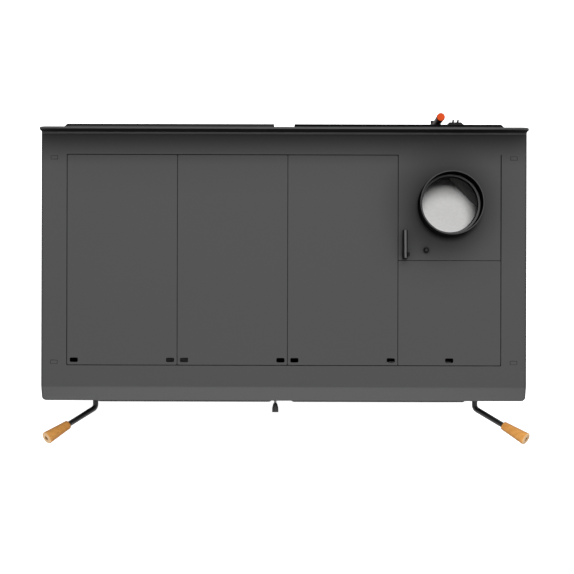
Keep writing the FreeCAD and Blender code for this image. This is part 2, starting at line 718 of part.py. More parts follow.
def make_sides():
    """Side panels, the top angles inside them, and the screws between."""
    angles = []
    screws = []
    for side, name in ((-1, "left_side_panel"), (1, "right_side_panel")):
        inner = side * CASING_INNER
        outer = side * CASING_HALF
        angle_inner = side * (CASING_INNER - ANGLE_SHEET)
        panel = block(inner, outer, CASING_FRONT, CASING_BACK, LEG_HEIGHT, TOP_UNDER)
        y0 = INSIDE_FRONT + ANGLE_END_GAP
        y1 = INSIDE_BACK - ANGLE_END_GAP
        flange_inner = side * (CASING_INNER - ANGLE_FLANGE)
        flange = block(inner, flange_inner, y0, y1, TOP_UNDER - ANGLE_SHEET, TOP_UNDER)
        web = block(inner, angle_inner, y0, y1, TOP_UNDER - ANGLE_WEB, TOP_UNDER)
        tabs = [locating_tab(x, y) for x, y in tab_places() if x * side > 0]
        holes = [along_x(y, z, angle_inner, outer, SCREW_SHANK) for y, z in side_screw_places()]
        save(name, panel.cut(holes))
        angles.append(joined(flange, web, *tabs).cut(holes))
        for y, z in side_screw_places():
            shank = along_x(y, z, angle_inner, outer, SCREW_SHANK)
            head = along_x(y, z, outer, outer + side * SCREW_HEAD_HEIGHT, SCREW_HEAD)
            screws.append(joined(shank, head))
    save("top_angles", *angles)
    return screws


def make_back_and_bottom():
    """Flat back and bottom panels between the sides."""
    save("back_panel", block(-CASING_INNER, CASING_INNER, INSIDE_BACK, CASING_BACK, LEG_HEIGHT, TOP_UNDER))
    bottom_top = LEG_HEIGHT + BOTTOM_SHEET
    bottom = block(-CASING_INNER, CASING_INNER, INSIDE_FRONT, INSIDE_BACK, LEG_HEIGHT, bottom_top)
    save("bottom_panel", bottom)


def one_leg(x, y):
    """A square tube with a foot plate and a cap plate."""
    half = LEG_SIZE / 2
    bore = half - LEG_WALL
    foot_half = FOOT_SIZE / 2
    tube_top = LEG_HEIGHT - LEG_CAP_SHEET
    tube = block(x - half, x + half, y - half, y + half, FOOT_SHEET, tube_top)
    hollow = block(x - bore, x + bore, y - bore, y + bore, FOOT_SHEET, tube_top)
    foot = block(x - foot_half, x + foot_half, y - foot_half, y + foot_half, 0, FOOT_SHEET)
    cap = block(x - foot_half, x + foot_half, y - foot_half, y + foot_half, tube_top, LEG_HEIGHT)
    ends = [rounded(plate, Z_AXIS, FOOT_CORNER) for plate in (foot, cap)]
    return joined(tube.cut(hollow), *ends)


def make_legs():
    """Four legs, one under each corner of the casing."""
    x = CASING_HALF - LEG_INSET
    depths = (CASING_FRONT + LEG_INSET, CASING_BACK - LEG_INSET)
    save("legs", *[one_leg(side * x, y) for side in (-1, 1) for y in depths])


def make_heat_shields():
    """Two sheets on spacers behind the back panel, with sloped outer ends, and their screws."""
    solids = []
    screws = []
    inner = SHIELD_GAP / 2
    along = SHIELD_SHEET * MITRE
    aside = SHIELD_SHEET * math.sqrt(0.5)
    bend_x = SHIELD_OUTER - SHIELD_BEVEL
    end_y = SHIELD_REAR - SHIELD_BEVEL
    plan = [
        (inner, SHIELD_FRONT),
        (inner, SHIELD_REAR),
        (bend_x, SHIELD_REAR),
        (SHIELD_OUTER, end_y),
        (SHIELD_OUTER - aside, end_y - aside),
        (bend_x - along, SHIELD_FRONT),
    ]
    for side in (-1, 1):
        points = [V(side * x, y, SHIELD_BOTTOM) for x, y in plan]
        sheet = prism(points, V(0, 0, SHIELD_TOP - SHIELD_BOTTOM))
        for x in (inner + SPACER_INSET, SHIELD_OUTER - SPACER_INSET):
            for z in (SHIELD_BOTTOM + SPACER_INSET, SHIELD_TOP - SPACER_INSET):
                hole = along_y(side * x, z, CASING_BACK, SHIELD_REAR, SCREW_SHANK)
                sheet = sheet.cut(hole)
                spacer = along_y(side * x, z, CASING_BACK, SHIELD_FRONT, SPACER_DIAMETER)
                solids.append(spacer.cut(hole))
                head = along_y(side * x, z, SHIELD_REAR, SHIELD_REAR + SCREW_HEAD_HEIGHT, SCREW_HEAD)
                screws.append(joined(hole, head))
        solids.append(sheet)
    save("rear_heat_shields", *solids)
    return screws


# Front panel and hinges
def across(door, distance):
    """X at a distance from a door's hinge pin."""
    return door.hinge + door.side * distance


def mouth_span(door, margin):
    """X limits of a door's mouth, grown by a margin."""
    near = PANEL_MIDDLE - door.mouth_width / 2 - margin
    far = PANEL_MIDDLE + door.mouth_width / 2 + margin
    return sorted((across(door, near), across(door, far)))


def hinge_heights():
    """Middle heights of the two hinges of a door."""
    return (DOOR_BOTTOM + HINGE_FROM_DOOR_END, DOOR_TOP - HINGE_FROM_DOOR_END)


def hinge_lug(door, z0):
    """A lug on the front panel with a round nose about the hinge pin."""
    nose = upright(door.hinge, HINGE_Y, z0, z0 + LUG_SHEET, 2 * LUG_HALF)
    web = block(door.hinge - LUG_HALF, door.hinge + LUG_HALF, HINGE_Y, CASING_FRONT, z0, z0 + LUG_SHEET)
    hole = upright(door.hinge, HINGE_Y, z0, z0 + LUG_SHEET, PIN_DIAMETER)
    return joined(nose, web).cut(hole)


def lug_offset():
    """Distance from a hinge's middle height to the near face of each lug."""
    return KNUCKLE_HEIGHT / 2 + KNUCKLE_GAP


def make_front_panel():
    """Front sheet with its mouths, latch slots and hinge lugs."""
    panel = block(-CASING_INNER, CASING_INNER, CASING_FRONT, INSIDE_FRONT, LEG_HEIGHT, TOP_UNDER)
    y0 = CASING_FRONT - OVERCUT
    y1 = INSIDE_FRONT + OVERCUT
    cuts = []
    lugs = []
    for door in DOORS:
        x0, x1 = mouth_span(door, 0)
        cuts.append(rounded(block(x0, x1, y0, y1, door.mouth_bottom, door.mouth_top), Y_AXIS, MOUTH_CORNER))
        handle_x = across(door, door.handle)
        slot_half = CAM_HUB / 2 + CAM_SLOT_CLEARANCE
        slot_top = HANDLE_Z + CAM_LENGTH + CAM_SLOT_CLEARANCE
        cuts.append(block(handle_x - slot_half, handle_x + slot_half, y0, y1, HANDLE_Z - slot_half, slot_top))
        for middle in hinge_heights():
            lugs.append(hinge_lug(door, middle + lug_offset()))
            lugs.append(hinge_lug(door, middle - lug_offset() - LUG_SHEET))
    tray_x0, tray_x1 = tray_span()
    cuts.append(block(tray_x0 - TRAY_CLEARANCE, tray_x1 + TRAY_CLEARANCE, y0, y1,
                      TRAY_BOTTOM - TRAY_FLOOR_CLEARANCE, LOWER_TOP - PANEL_SHEET - TRAY_CLEARANCE))
    cover_x = across(OVEN_DOOR, PANEL_MIDDLE)
    cuts.append(block(cover_x - CLEANOUT_WIDTH / 2, cover_x + CLEANOUT_WIDTH / 2, y0, y1,
                      LOWER_BOTTOM + CLEANOUT_MARGIN, LOWER_TOP - CLEANOUT_MARGIN))
    cuts.append(along_y(CONTROL_X, CONTROL_Z, y0, y1, CONTROL_ROD + 2 * RUNNING_CLEARANCE))
    save("front_panel", joined(panel.cut(cuts), *lugs))


def make_hinge_pins():
    """One headed pin for each hinge, fixed in its lugs."""
    pins = []
    for door in DOORS:
        for middle in hinge_heights():
            low = middle - lug_offset() - LUG_SHEET
            high = middle + lug_offset() + LUG_SHEET
            shank = upright(door.hinge, HINGE_Y, low, high, PIN_DIAMETER)
            head = upright(door.hinge, HINGE_Y, high, high + PIN_HEAD_HEIGHT, PIN_HEAD_DIAMETER)
            pins.append(joined(shank, head))
    save("hinge_pins", *pins)


# Doors
def window_span(margin):
    """Distances from the hinge of the window's two sides, grown by a margin."""
    half = WINDOW_WIDTH / 2 + margin
    return (PANEL_MIDDLE - half, PANEL_MIDDLE + half)


def door_window(door, margin, y0, y1):
    """A rounded block through a door's window, grown by a margin."""
    near, far = window_span(margin)
    low = door.window_bottom - margin
    high = door.window_top + margin
    opening = block(across(door, near), across(door, far), y0, y1, low, high)
    return rounded(opening, Y_AXIS, WINDOW_CORNER)


def make_door_plate(door, holes):
    """Flat door plate with its knuckles, sight opening and spindle hole."""
    near = LUG_HALF + LUG_CLEARANCE
    far = door.handle + LATCH_SIDE_BEYOND
    plate = block(across(door, near), across(door, far), PLATE_FRONT, PLATE_REAR, DOOR_BOTTOM, DOOR_TOP)
    plate = rounded(plate, Y_AXIS, DOOR_CORNER)
    spindle_x = across(door, door.handle)
    spindle_hole = ROD_DIAMETER + 2 * ROD_CLEARANCE
    spindle = along_y(spindle_x, HANDLE_Z, PLATE_FRONT, PLATE_REAR, spindle_hole)
    plate = plate.cut([door_window(door, SIGHT_MARGIN, PLATE_FRONT, PLATE_REAR), spindle] + holes)
    knuckles = []
    bores = []
    for middle in hinge_heights():
        low = middle - KNUCKLE_HEIGHT / 2
        high = middle + KNUCKLE_HEIGHT / 2
        knuckles.append(upright(door.hinge, HINGE_Y, low, high, KNUCKLE_DIAMETER))
        strap_end = across(door, HINGE_FROM_PANEL - LUG_CLEARANCE / 2)
        strap_front = HINGE_Y - PIN_DIAMETER / 2
        knuckles.append(block(door.hinge, strap_end, strap_front, PLATE_FRONT, low, high))
        bores.append(upright(door.hinge, HINGE_Y, low, high, PIN_DIAMETER + 2 * RUNNING_CLEARANCE))
    save(door.name + "_door_plate", joined(plate, *knuckles).cut(bores))


def raised_front(x0, x1, rear, z0, z1):
    """A pressed front, open at the back, with rounded edges all round its face."""
    body = block(x0, x1, PANEL_FRONT, rear, z0, z1)
    face_edges = [edge for edge in body.Edges if abs(edge.BoundBox.YMax - PANEL_FRONT) < NEARLY]
    body = body.makeFillet(PANEL_ROUND, face_edges)
    wall = PANEL_SHEET
    hollow = block(x0 + wall, x1 - wall, PANEL_INNER, rear + OVERCUT, z0 + wall, z1 - wall)
    return body.cut(hollow)


def panel_span(door):
    """X limits of the raised panel of a door, and of the front below it."""
    return sorted((across(door, HINGE_FROM_PANEL), across(door, PANEL_FAR)))


def make_door_panel(door, holes):
    """Raised panel on the face of a door plate, with the window cut through it."""
    x0, x1 = panel_span(door)
    panel = raised_front(x0, x1, PLATE_FRONT, DOOR_BOTTOM + PANEL_MARGIN, DOOR_TOP - PANEL_MARGIN)
    window = door_window(door, 0, PANEL_FRONT - OVERCUT, PANEL_INNER + OVERCUT)
    save(door.name + "_door_panel", panel.cut([window] + holes))


def make_door_glass(door):
    """Pane behind the window, and the two clips that hold its sides."""
    glass_rear = PANEL_INNER + GLASS_SHEET
    near, far = window_span(GLASS_LAP)
    glass_low = door.window_bottom - GLASS_LAP
    glass_high = door.window_top + GLASS_LAP
    save(door.name + "_door_glass",
         block(across(door, near), across(door, far), PANEL_INNER, glass_rear, glass_low, glass_high))
    clips = []
    for start, end in ((near, near + CLIP_WIDTH), (far - CLIP_WIDTH, far)):
        strip = block(across(door, start), across(door, end), glass_rear, glass_rear + CLIP_SHEET,
                      glass_low - CLIP_BEYOND, glass_high + CLIP_BEYOND)
        middle = across(door, (start + end) / 2)
        studs = [along_y(middle, z, PANEL_INNER, glass_rear, CLIP_STUD)
                 for z in (glass_low - CLIP_BEYOND / 2, glass_high + CLIP_BEYOND / 2)]
        clips.append(joined(strip, *studs))
    save(door.name + "_glass_clips", *clips)


def make_door_gasket(door):
    """Flattened rope round the mouth, on the rear face of the door plate."""
    rear = CASING_FRONT - GASKET_CLEARANCE
    ring = []
    for margin in (GASKET_MARGIN + GASKET_WIDTH, GASKET_MARGIN):
        x0, x1 = mouth_span(door, margin)
        shape = block(x0, x1, PLATE_REAR, rear, door.mouth_bottom - margin, door.mouth_top + margin)
        ring.append(rounded(shape, Y_AXIS, MOUTH_CORNER + margin))
    save(door.name + "_door_gasket", ring[0].cut(ring[1]))


def arm_direction(door):
    """Unit vector along a handle's arm, outward, forward and up."""
    bend = math.radians(ROD_BEND_ANGLE)
    roll = math.radians(door.roll)
    return V(door.side * math.sin(bend) * math.cos(roll), -math.cos(bend), math.sin(bend) * math.sin(roll))


def handle_corner(door):
    """Point where the lines of the spindle and the arm cross."""
    return V(across(door, door.handle), PLATE_FRONT - ROD_BEND_AHEAD, HANDLE_Z)


def cam_faces():
    """Front and rear of the latch cam, just behind the front panel."""
    front = INSIDE_FRONT + CAM_GAP
    return (front, front + CAM_SHEET)


def make_handle_rod(door):
    """Bent rod from the latch cam to the grip, with its rose, keeper and grip screw."""
    corner = handle_corner(door)
    arm = arm_direction(door)
    half = math.radians(ROD_BEND_ANGLE) / 2
    tangent = ROD_BEND_RADIUS * math.tan(half)
    start = V(corner.x, cam_faces()[1], corner.z)
    bend_start = corner + Y_AXIS * tangent
    bend_end = corner + arm * tangent
    inward = (Y_AXIS + arm).normalize()
    bend_middle = corner + inward * (ROD_BEND_RADIUS / math.cos(half) - ROD_BEND_RADIUS)
    rod_end = corner + arm * (ARM_LENGTH - GRIP_END_DEPTH - GRIP_END_WALL)
    path = Part.Wire([Part.LineSegment(start, bend_start).toShape(),
                      Part.Arc(bend_start, bend_middle, bend_end).toShape(),
                      Part.LineSegment(bend_end, rod_end).toShape()])
    section = Part.Wire([Part.Circle(start, Y_AXIS, ROD_DIAMETER / 2).toShape()])
    rod = path.makePipeShell([section], True, False)
    rose_rear = PLATE_FRONT - ROSE_GAP
    rose = along_y(corner.x, corner.z, rose_rear - ROSE_SHEET, rose_rear, ROSE_DIAMETER)
    keeper_front = PLATE_REAR + ROSE_GAP
    keeper = along_y(corner.x, corner.z, keeper_front, keeper_front + KEEPER_SHEET, KEEPER_DIAMETER)
    shank = Part.makeCylinder(GRIP_SCREW_SHANK / 2, GRIP_END_WALL, rod_end, arm)
    head = Part.makeCylinder(GRIP_SCREW_HEAD / 2, GRIP_SCREW_HEAD_HEIGHT, rod_end + arm * GRIP_END_WALL, arm)
    save(door.name + "_handle_rod", joined(rod, rose, keeper, shank, head))


def make_handle_grip(door):
    """Tapered wooden grip with a deep hole for the screw in its end."""
    corner = handle_corner(door)
    arm = arm_direction(door)
    start = corner + arm * (ARM_LENGTH - GRIP_LENGTH)
    end = corner + arm * ARM_LENGTH
    grip = Part.makeCone(GRIP_INNER_DIAMETER / 2, GRIP_OUTER_DIAMETER / 2, GRIP_LENGTH, start, arm)
    rims = [edge for edge in grip.Edges if isinstance(edge.Curve, Part.Circle)]
    grip = grip.makeFillet(GRIP_ROUND, rims)
    wall = end - arm * (GRIP_END_DEPTH + GRIP_END_WALL)
    bore = Part.makeCylinder(ROD_DIAMETER / 2, GRIP_LENGTH - GRIP_END_DEPTH - GRIP_END_WALL, start, arm)
    screw = Part.makeCylinder(GRIP_SCREW_SHANK / 2, GRIP_END_WALL, wall, arm)
    hole = Part.makeCylinder(GRIP_END_HOLE / 2, GRIP_END_DEPTH, end - arm * GRIP_END_DEPTH, arm)
    save(door.name + "_handle_grip", grip.cut([bore, screw, hole]))


def make_latch_cam(door):
    """Cam on the rear end of the rod, standing up in its slot while the door is free."""
    front, rear = cam_faces()
    x = across(door, door.handle)
    hub = along_y(x, HANDLE_Z, front, rear, CAM_HUB)
    nose = block(x - CAM_WIDTH / 2, x + CAM_WIDTH / 2, front, rear, HANDLE_Z, HANDLE_Z + CAM_LENGTH)
    save(door.name + "_latch_cam", joined(hub, nose).cut(along_y(x, HANDLE_Z, front, rear, ROD_DIAMETER)))


def make_doors():
    """Both doors with their panes, seals, handles and latches."""
    stem_end = PANEL_FRONT + METER_STEM_LENGTH
    x, z = meter_place()
    body_hole = along_y(x, z, PANEL_FRONT - OVERCUT, PANEL_INNER + OVERCUT, METER_BODY + 2 * METER_GAP)
    stem_hole = along_y(x, z, PLATE_FRONT - OVERCUT, stem_end, METER_STEM + 2 * METER_GAP)
    for door, panel_holes, plate_holes in ((FIREBOX_DOOR, [], []), (OVEN_DOOR, [body_hole], [stem_hole])):
        make_door_plate(door, plate_holes)
        make_door_panel(door, panel_holes)
        make_door_glass(door)
        make_door_gasket(door)
        make_handle_rod(door)
        make_handle_grip(door)
        make_latch_cam(door)


# Oven thermometer
def meter_place():
    """X and Z of the thermometer on the oven door."""
    return (across(OVEN_DOOR, PANEL_MIDDLE), OVEN_DOOR.window_top + METER_ABOVE_WINDOW)


def make_thermometer():
    """Case let into the door panel, with its stem, dial, needle and lens."""
    x, z = meter_place()
    front = PANEL_FRONT - METER_PROUD
    rear = front + METER_DEPTH
    floor = rear - METER_BACK
    bore = METER_BODY - 2 * METER_WALL
    flange = along_y(x, z, front, PANEL_FRONT, METER_DIAMETER)
    body = along_y(x, z, PANEL_FRONT, rear, METER_BODY)
    stem = along_y(x, z, rear, PANEL_FRONT + METER_STEM_LENGTH, METER_STEM)
    save("thermometer_case", joined(flange, body, stem).cut(along_y(x, z, front, floor, bore)))

    dial_front = floor - DIAL_SHEET
    pin_hole = along_y(x, z, dial_front, floor, NEEDLE_PIN + 2 * RUNNING_CLEARANCE)
    save("thermometer_dial", along_y(x, z, dial_front, floor, bore - 2 * DIAL_GAP).cut(pin_hole))

    needle_rear = dial_front - NEEDLE_LIFT
    needle_front = needle_rear - NEEDLE_SHEET
    half = NEEDLE_WIDTH / 2
    pointer = block(-NEEDLE_TAIL, NEEDLE_LENGTH, needle_front, needle_rear, -half, half)
    pointer.rotate(V(0, 0, 0), Y_AXIS, -NEEDLE_REST_ANGLE)
    pointer.translate(V(x, 0, z))
    hub = along_y(x, z, needle_front - NEEDLE_SHEET, dial_front - DIAL_GAP, NEEDLE_HUB)
    pin = along_y(x, z, dial_front - DIAL_GAP, floor - DIAL_GAP, NEEDLE_PIN)
    save("thermometer_needle", joined(pointer, hub, pin))

    lens_front = front + LENS_INSET
    save("thermometer_lens", along_y(x, z, lens_front, lens_front + LENS_SHEET, bore))


# Firebox
def firebox_span(margin):
    """X limits of the firebox mouth, grown by a margin."""
    return mouth_span(FIREBOX_DOOR, margin)


def make_firebox_shell():
    """Left, right and back walls standing on the firebox floor, welded to the front panel."""
    x0, x1 = firebox_span(BRICK_THICK)
    rear = INSIDE_FRONT + FIREBOX_DEPTH
    tall = TOP_UNDER - BAR_HEIGHT - FIREBOX_TOP_GAP
    low = FIREBOX_FLOOR_TOP
    out0 = x0 - FIREBOX_WALL
    out1 = x1 + FIREBOX_WALL
    out_rear = rear + FIREBOX_WALL
    left = block(out0, x0, INSIDE_FRONT, rear, low, tall)
    right = block(x1, out1, INSIDE_FRONT, rear, low, low + FIREBOX_RIGHT_WALL_HEIGHT)
    back = block(out0, out1, rear, out_rear, low, tall)
    save("firebox_shell", left, right, back)

    floor = block(out0, out1, INSIDE_FRONT, out_rear, low - FIREBOX_WALL, low)
    gx0, gx1, gy0, gy1 = grate_span(-GRATE_SEAT)
    save("firebox_floor", floor.cut(block(gx0, gx1, gy0, gy1, low - FIREBOX_WALL, low)))


def make_firebricks():
    """Upright bricks along the sides and the back of the firebox."""
    x0, x1 = firebox_span(BRICK_THICK)
    rear = INSIDE_FRONT + FIREBOX_DEPTH
    front = INSIDE_FRONT + BRICK_FRONT_INSET
    low = FIREBOX_FLOOR_TOP
    high = low + BRICK_HEIGHT
    side_pitch = (rear - BRICK_THICK - front) / SIDE_BRICK_COUNT
    back_pitch = (x1 - x0) / BACK_BRICK_COUNT
    bricks = []
    for index in range(SIDE_BRICK_COUNT):
        y0 = front + index * side_pitch
        y1 = y0 + side_pitch - BRICK_SEAM
        bricks.append(block(x0, x0 + BRICK_THICK, y0, y1, low, high))
        bricks.append(block(x1 - BRICK_THICK, x1, y0, y1, low, high))
    for index in range(BACK_BRICK_COUNT):
        start = x0 + index * back_pitch
        bricks.append(block(start, start + back_pitch - BRICK_SEAM, rear - BRICK_THICK, rear, low, high))
    save("firebricks", *bricks)


def grate_span(margin):
    """Limits of the grate in plan, grown by a margin."""
    middle = across(FIREBOX_DOOR, PANEL_MIDDLE)
    y0 = INSIDE_FRONT + GRATE_FROM_FRONT
    half = GRATE_WIDTH / 2 + margin
    return (middle - half, middle + half, y0 - margin, y0 + GRATE_LENGTH + margin)


def make_grate():
    """Cast grate with straight slots, lying over the hole in the firebox floor."""
    x0, x1, y0, y1 = grate_span(0)
    low = FIREBOX_FLOOR_TOP
    grate = rounded(block(x0, x1, y0, y1, low, low + GRATE_HEIGHT), Z_AXIS, GRATE_CORNER)
    pitch = (GRATE_WIDTH - 2 * GRATE_RIM) / GRATE_SLOT_COUNT
    slots = []
    for index in range(GRATE_SLOT_COUNT):
        x = x0 + GRATE_RIM + (index + 0.5) * pitch
        slots.append(block(x - GRATE_SLOT / 2, x + GRATE_SLOT / 2, y0 + GRATE_RIM, y1 - GRATE_RIM,
                           low, low + GRATE_HEIGHT))
    save("grate", grate.cut(slots))


# Ash drawer
def tray_span():
    """X limits of the ash tray."""
    x0, x1 = panel_span(FIREBOX_DOOR)
    return (x0 + TRAY_SIDE_INSET, x1 - TRAY_SIDE_INSET)


def make_ash_tray():
    """Open tray whose floor runs forward into the drawer front."""
    x0, x1 = tray_span()
    y0 = CASING_FRONT - TRAY_FRONT_GAP - TRAY_SHEET
    y1 = y0 + TRAY_REACH
    low = TRAY_BOTTOM
    high = low + TRAY_HEIGHT
    outer = block(x0, x1, y0, y1, low, high)
    inner = block(x0 + TRAY_SHEET, x1 - TRAY_SHEET, y0 + TRAY_SHEET, y1 - TRAY_SHEET, low + TRAY_SHEET, high)
    tongue = block(x0, x1, PANEL_INNER, y0, low, low + TRAY_SHEET)
    save("ash_tray", joined(outer.cut(inner), tongue))


def register_place():
    """X and Z of the air register's spindle."""
    return (across(FIREBOX_DOOR, PANEL_MIDDLE), LOWER_MIDDLE)


def register_holes(y0, y1):
    """Air holes on a circle round the register's spindle."""
    x, z = register_place()
    holes = []
    for index in range(REGISTER_HOLE_COUNT):
        turn = 2 * math.pi * (index + 0.5) / REGISTER_HOLE_COUNT
        hole_x = x + REGISTER_HOLE_CIRCLE / 2 * math.cos(turn)
        hole_z = z + REGISTER_HOLE_CIRCLE / 2 * math.sin(turn)
        holes.append(along_y(hole_x, hole_z, y0, y1, REGISTER_HOLE))
    return holes


def make_drawer_front():
    """Pressed front of the ash drawer with its air holes."""
    x0, x1 = panel_span(FIREBOX_DOOR)
    front = raised_front(x0, x1, CASING_FRONT - DRAWER_FRONT_GAP, LOWER_BOTTOM, LOWER_TOP)
    x, z = register_place()
    y0 = PANEL_FRONT - OVERCUT
    y1 = PANEL_INNER + OVERCUT
    spindle = along_y(x, z, y0, y1, REGISTER_SPINDLE + 2 * RUNNING_CLEARANCE)
    save("ash_drawer_front", front.cut(register_holes(y0, y1) + [spindle]))


def pull_knob(x, z, base, end_diameter, neck_diameter, length):
    """A cone that widens forward from its neck, with a rounded end."""
    knob = Part.makeCone(neck_diameter / 2, end_diameter / 2, length, V(x, base, z), -Y_AXIS)
    rim = [edge for edge in knob.Edges if abs(edge.BoundBox.YMax - (base - length)) < NEARLY]
    return knob.makeFillet(PULL_ROUND, rim)


def make_air_register():
    """Turning disc with air holes, its spindle and the knob that also pulls the drawer."""
    x, z = register_place()
    rear = PANEL_FRONT - REGISTER_GAP
    front = rear - REGISTER_SHEET
    disc = along_y(x, z, front, rear, REGISTER_DIAMETER).cut(register_holes(front, rear))
    collar_front = PANEL_INNER + REGISTER_GAP
    collar = along_y(x, z, collar_front, collar_front + REGISTER_COLLAR_HEIGHT, REGISTER_COLLAR)
    spindle = along_y(x, z, front, collar_front, REGISTER_SPINDLE)
    knob = pull_knob(x, z, front, PULL_END_DIAMETER, PULL_NECK_DIAMETER, PULL_LENGTH)
    save("air_register", joined(disc, spindle, collar, knob))


def make_runners():
    """Angle rails under the tray, from the front panel to the back panel."""
    x0, x1 = tray_span()
    rails = []
    for edge, inward in ((x0, 1), (x1, -1)):
        outer = edge - inward * (RUNNER_SIDE_GAP + RUNNER_SHEET)
        seat_end = edge + inward * RUNNER_SEAT
        low = TRAY_BOTTOM - RUNNER_SHEET
        high = TRAY_BOTTOM + RUNNER_HEIGHT
        seat = block(outer, seat_end, INSIDE_FRONT, INSIDE_BACK, low, TRAY_BOTTOM)
        web = block(outer, outer + inward * RUNNER_SHEET, INSIDE_FRONT, INSIDE_BACK, low, high)
        rails.append(joined(seat, web))
    save("ash_runners", *rails)


# Oven
def make_oven():
    """Welded liner with its rack guides, the rack, and the pale board on top."""
    x0, x1 = mouth_span(OVEN_DOOR, 0)
    low = OVEN_DOOR.mouth_bottom
    high = OVEN_DOOR.mouth_top
    rear = INSIDE_FRONT + OVEN_DEPTH
    out0 = x0 - OVEN_SHEET
    out1 = x1 + OVEN_SHEET
    guide_z = low + GUIDE_RISE
    guide_y0 = INSIDE_FRONT + GUIDE_FRONT_INSET
    guide_y1 = rear - GUIDE_REAR_INSET
    plates = [
        block(out0, out1, INSIDE_FRONT, rear, low - OVEN_SHEET, low),
        block(out0, out1, INSIDE_FRONT, rear, high, high + OVEN_SHEET),
        block(out0, x0, INSIDE_FRONT, rear, low, high),
        block(x1, out1, INSIDE_FRONT, rear, low, high),
        block(out0, out1, rear, rear + OVEN_SHEET, low - OVEN_SHEET, high + OVEN_SHEET),
        block(x0, x0 + GUIDE_WIDTH, guide_y0, guide_y1, guide_z, guide_z + GUIDE_SHEET),
        block(x1 - GUIDE_WIDTH, x1, guide_y0, guide_y1, guide_z, guide_z + GUIDE_SHEET),
    ]
    save("oven_liner", *plates)
    rear_edge = FLUE_Y + CHAMBER_DEPTH + CHAMBER_SHEET
    save("oven_top_board", block(out0, BOARD_RIGHT, INSIDE_FRONT, rear_edge, high + OVEN_SHEET, BOARD_TOP))
    make_oven_rack(x0 + RACK_SIDE_GAP, x1 - RACK_SIDE_GAP, guide_y0, guide_z + GUIDE_SHEET)


def make_oven_rack(x0, x1, y0, low):
    """Wire shelf: a round-cornered frame with wires across it."""
    z = low + RACK_FRAME_WIRE / 2
    half = RACK_FRAME_WIRE / 2
    y1 = y0 + RACK_LENGTH
    wires = [along_x(y, z, x0, x1, RACK_FRAME_WIRE) for y in (y0 + half, y1 - half)]
    wires += [along_y(x, z, y0, y1, RACK_FRAME_WIRE) for x in (x0 + half, x1 - half)]
    pitch = (x1 - x0 - RACK_FRAME_WIRE) / (RACK_WIRE_COUNT + 1)
    for index in range(RACK_WIRE_COUNT):
        wires.append(along_y(x0 + half + (index + 1) * pitch, z, y0 + half, y1 - half, RACK_WIRE))
    save("oven_rack", joined(*wires))


# Lower right front
def make_cleanout():
    """Soot clean-out cover under the oven, held by two knobs on screws."""
    x0, x1 = panel_span(OVEN_DOOR)
    middle = (x0 + x1) / 2
    cover = raised_front(x0, x1, CASING_FRONT, LOWER_BOTTOM, LOWER_TOP)
    holes = []
    knobs = []
    for side in (-1, 1):
        x = middle + side * COVER_KNOB_SPREAD / 2
        holes.append(along_y(x, LOWER_MIDDLE, PANEL_FRONT, PANEL_INNER, COVER_KNOB_SHANK))
        shank = along_y(x, LOWER_MIDDLE, PANEL_FRONT, CASING_FRONT, COVER_KNOB_SHANK)
        knob = pull_knob(x, LOWER_MIDDLE, PANEL_FRONT, PULL_END_DIAMETER, PULL_NECK_DIAMETER, PULL_LENGTH)
        knobs.append(joined(shank, knob))
    save("cleanout_cover", cover.cut(holes))
    save("cleanout_knobs", *knobs)


# Air control
def make_air_control():
    """Knob, rod with its shutter disc, and the air box that the shutter closes."""
    knob_rear = CASING_FRONT - CONTROL_KNOB_AHEAD
    box_rear = INSIDE_FRONT + AIR_BOX_DEPTH
    wall_front = box_rear - AIR_BOX_SHEET
    shutter_rear = wall_front - SHUTTER_GAP
    x = CONTROL_X
    z = CONTROL_Z
    knob = pull_knob(x, z, knob_rear, CONTROL_KNOB_DIAMETER, CONTROL_KNOB_NECK, CONTROL_KNOB_LENGTH)
    save("air_control_knob", knob)
    rod = along_y(x, z, knob_rear, shutter_rear, CONTROL_ROD)
    shutter = along_y(x, z, shutter_rear - SHUTTER_SHEET, shutter_rear, SHUTTER_DIAMETER)
    save("air_control_rod", joined(rod, shutter))

    half_x = AIR_BOX_WIDTH / 2
    low = z - AIR_BOX_HEIGHT / 2
    high = z + AIR_BOX_HEIGHT / 2
    wall = AIR_BOX_SHEET
    outer = block(x - half_x, x + half_x, INSIDE_FRONT, box_rear, low, high)
    inner_half = half_x - wall
    inner = block(x - inner_half, x + inner_half, INSIDE_FRONT, wall_front, low + wall, high - wall)
    hole = along_y(x, z, wall_front, box_rear, AIR_HOLE)
    inlet_x = AIR_INLET_LENGTH / 2
    inlet_y0 = (INSIDE_FRONT + box_rear - AIR_INLET_WIDTH) / 2
    inlet_y1 = inlet_y0 + AIR_INLET_WIDTH
    inlet = block(x - inlet_x, x + inlet_x, inlet_y0, inlet_y1, low, low + wall)
    save("air_box", outer.cut([inner, hole, inlet]))


# Plate lifter
def make_lifter():
    """Red-gripped hook for the plates, hanging by its grip in the holder's fork."""
    grip = upright(LIFTER_X, LIFTER_Y, HOLDER_TOP, COOK_HEIGHT, LIFTER_GRIP_DIAMETER)
    rims = [edge for edge in grip.Edges if isinstance(edge.Curve, Part.Circle)]
    grip = grip.makeFillet(LIFTER_GRIP_ROUND, rims)
    socket_top = HOLDER_TOP + LIFTER_ROD_SOCKET
    save("lifter_grip", grip.cut(upright(LIFTER_X, LIFTER_Y, HOLDER_TOP, socket_top, LIFTER_ROD)))
    rod_low = HOLDER_TOP - LIFTER_ROD_LENGTH
    rod = upright(LIFTER_X, LIFTER_Y, rod_low, socket_top, LIFTER_ROD)
    half = LIFTER_HOOK_WIDTH / 2
    hook = block(LIFTER_X - half, LIFTER_X + half, LIFTER_Y, LIFTER_Y + LIFTER_HOOK_REACH,
                 rod_low, rod_low + LIFTER_HOOK_HEIGHT)
    save("lifter_rod", joined(rod, hook))


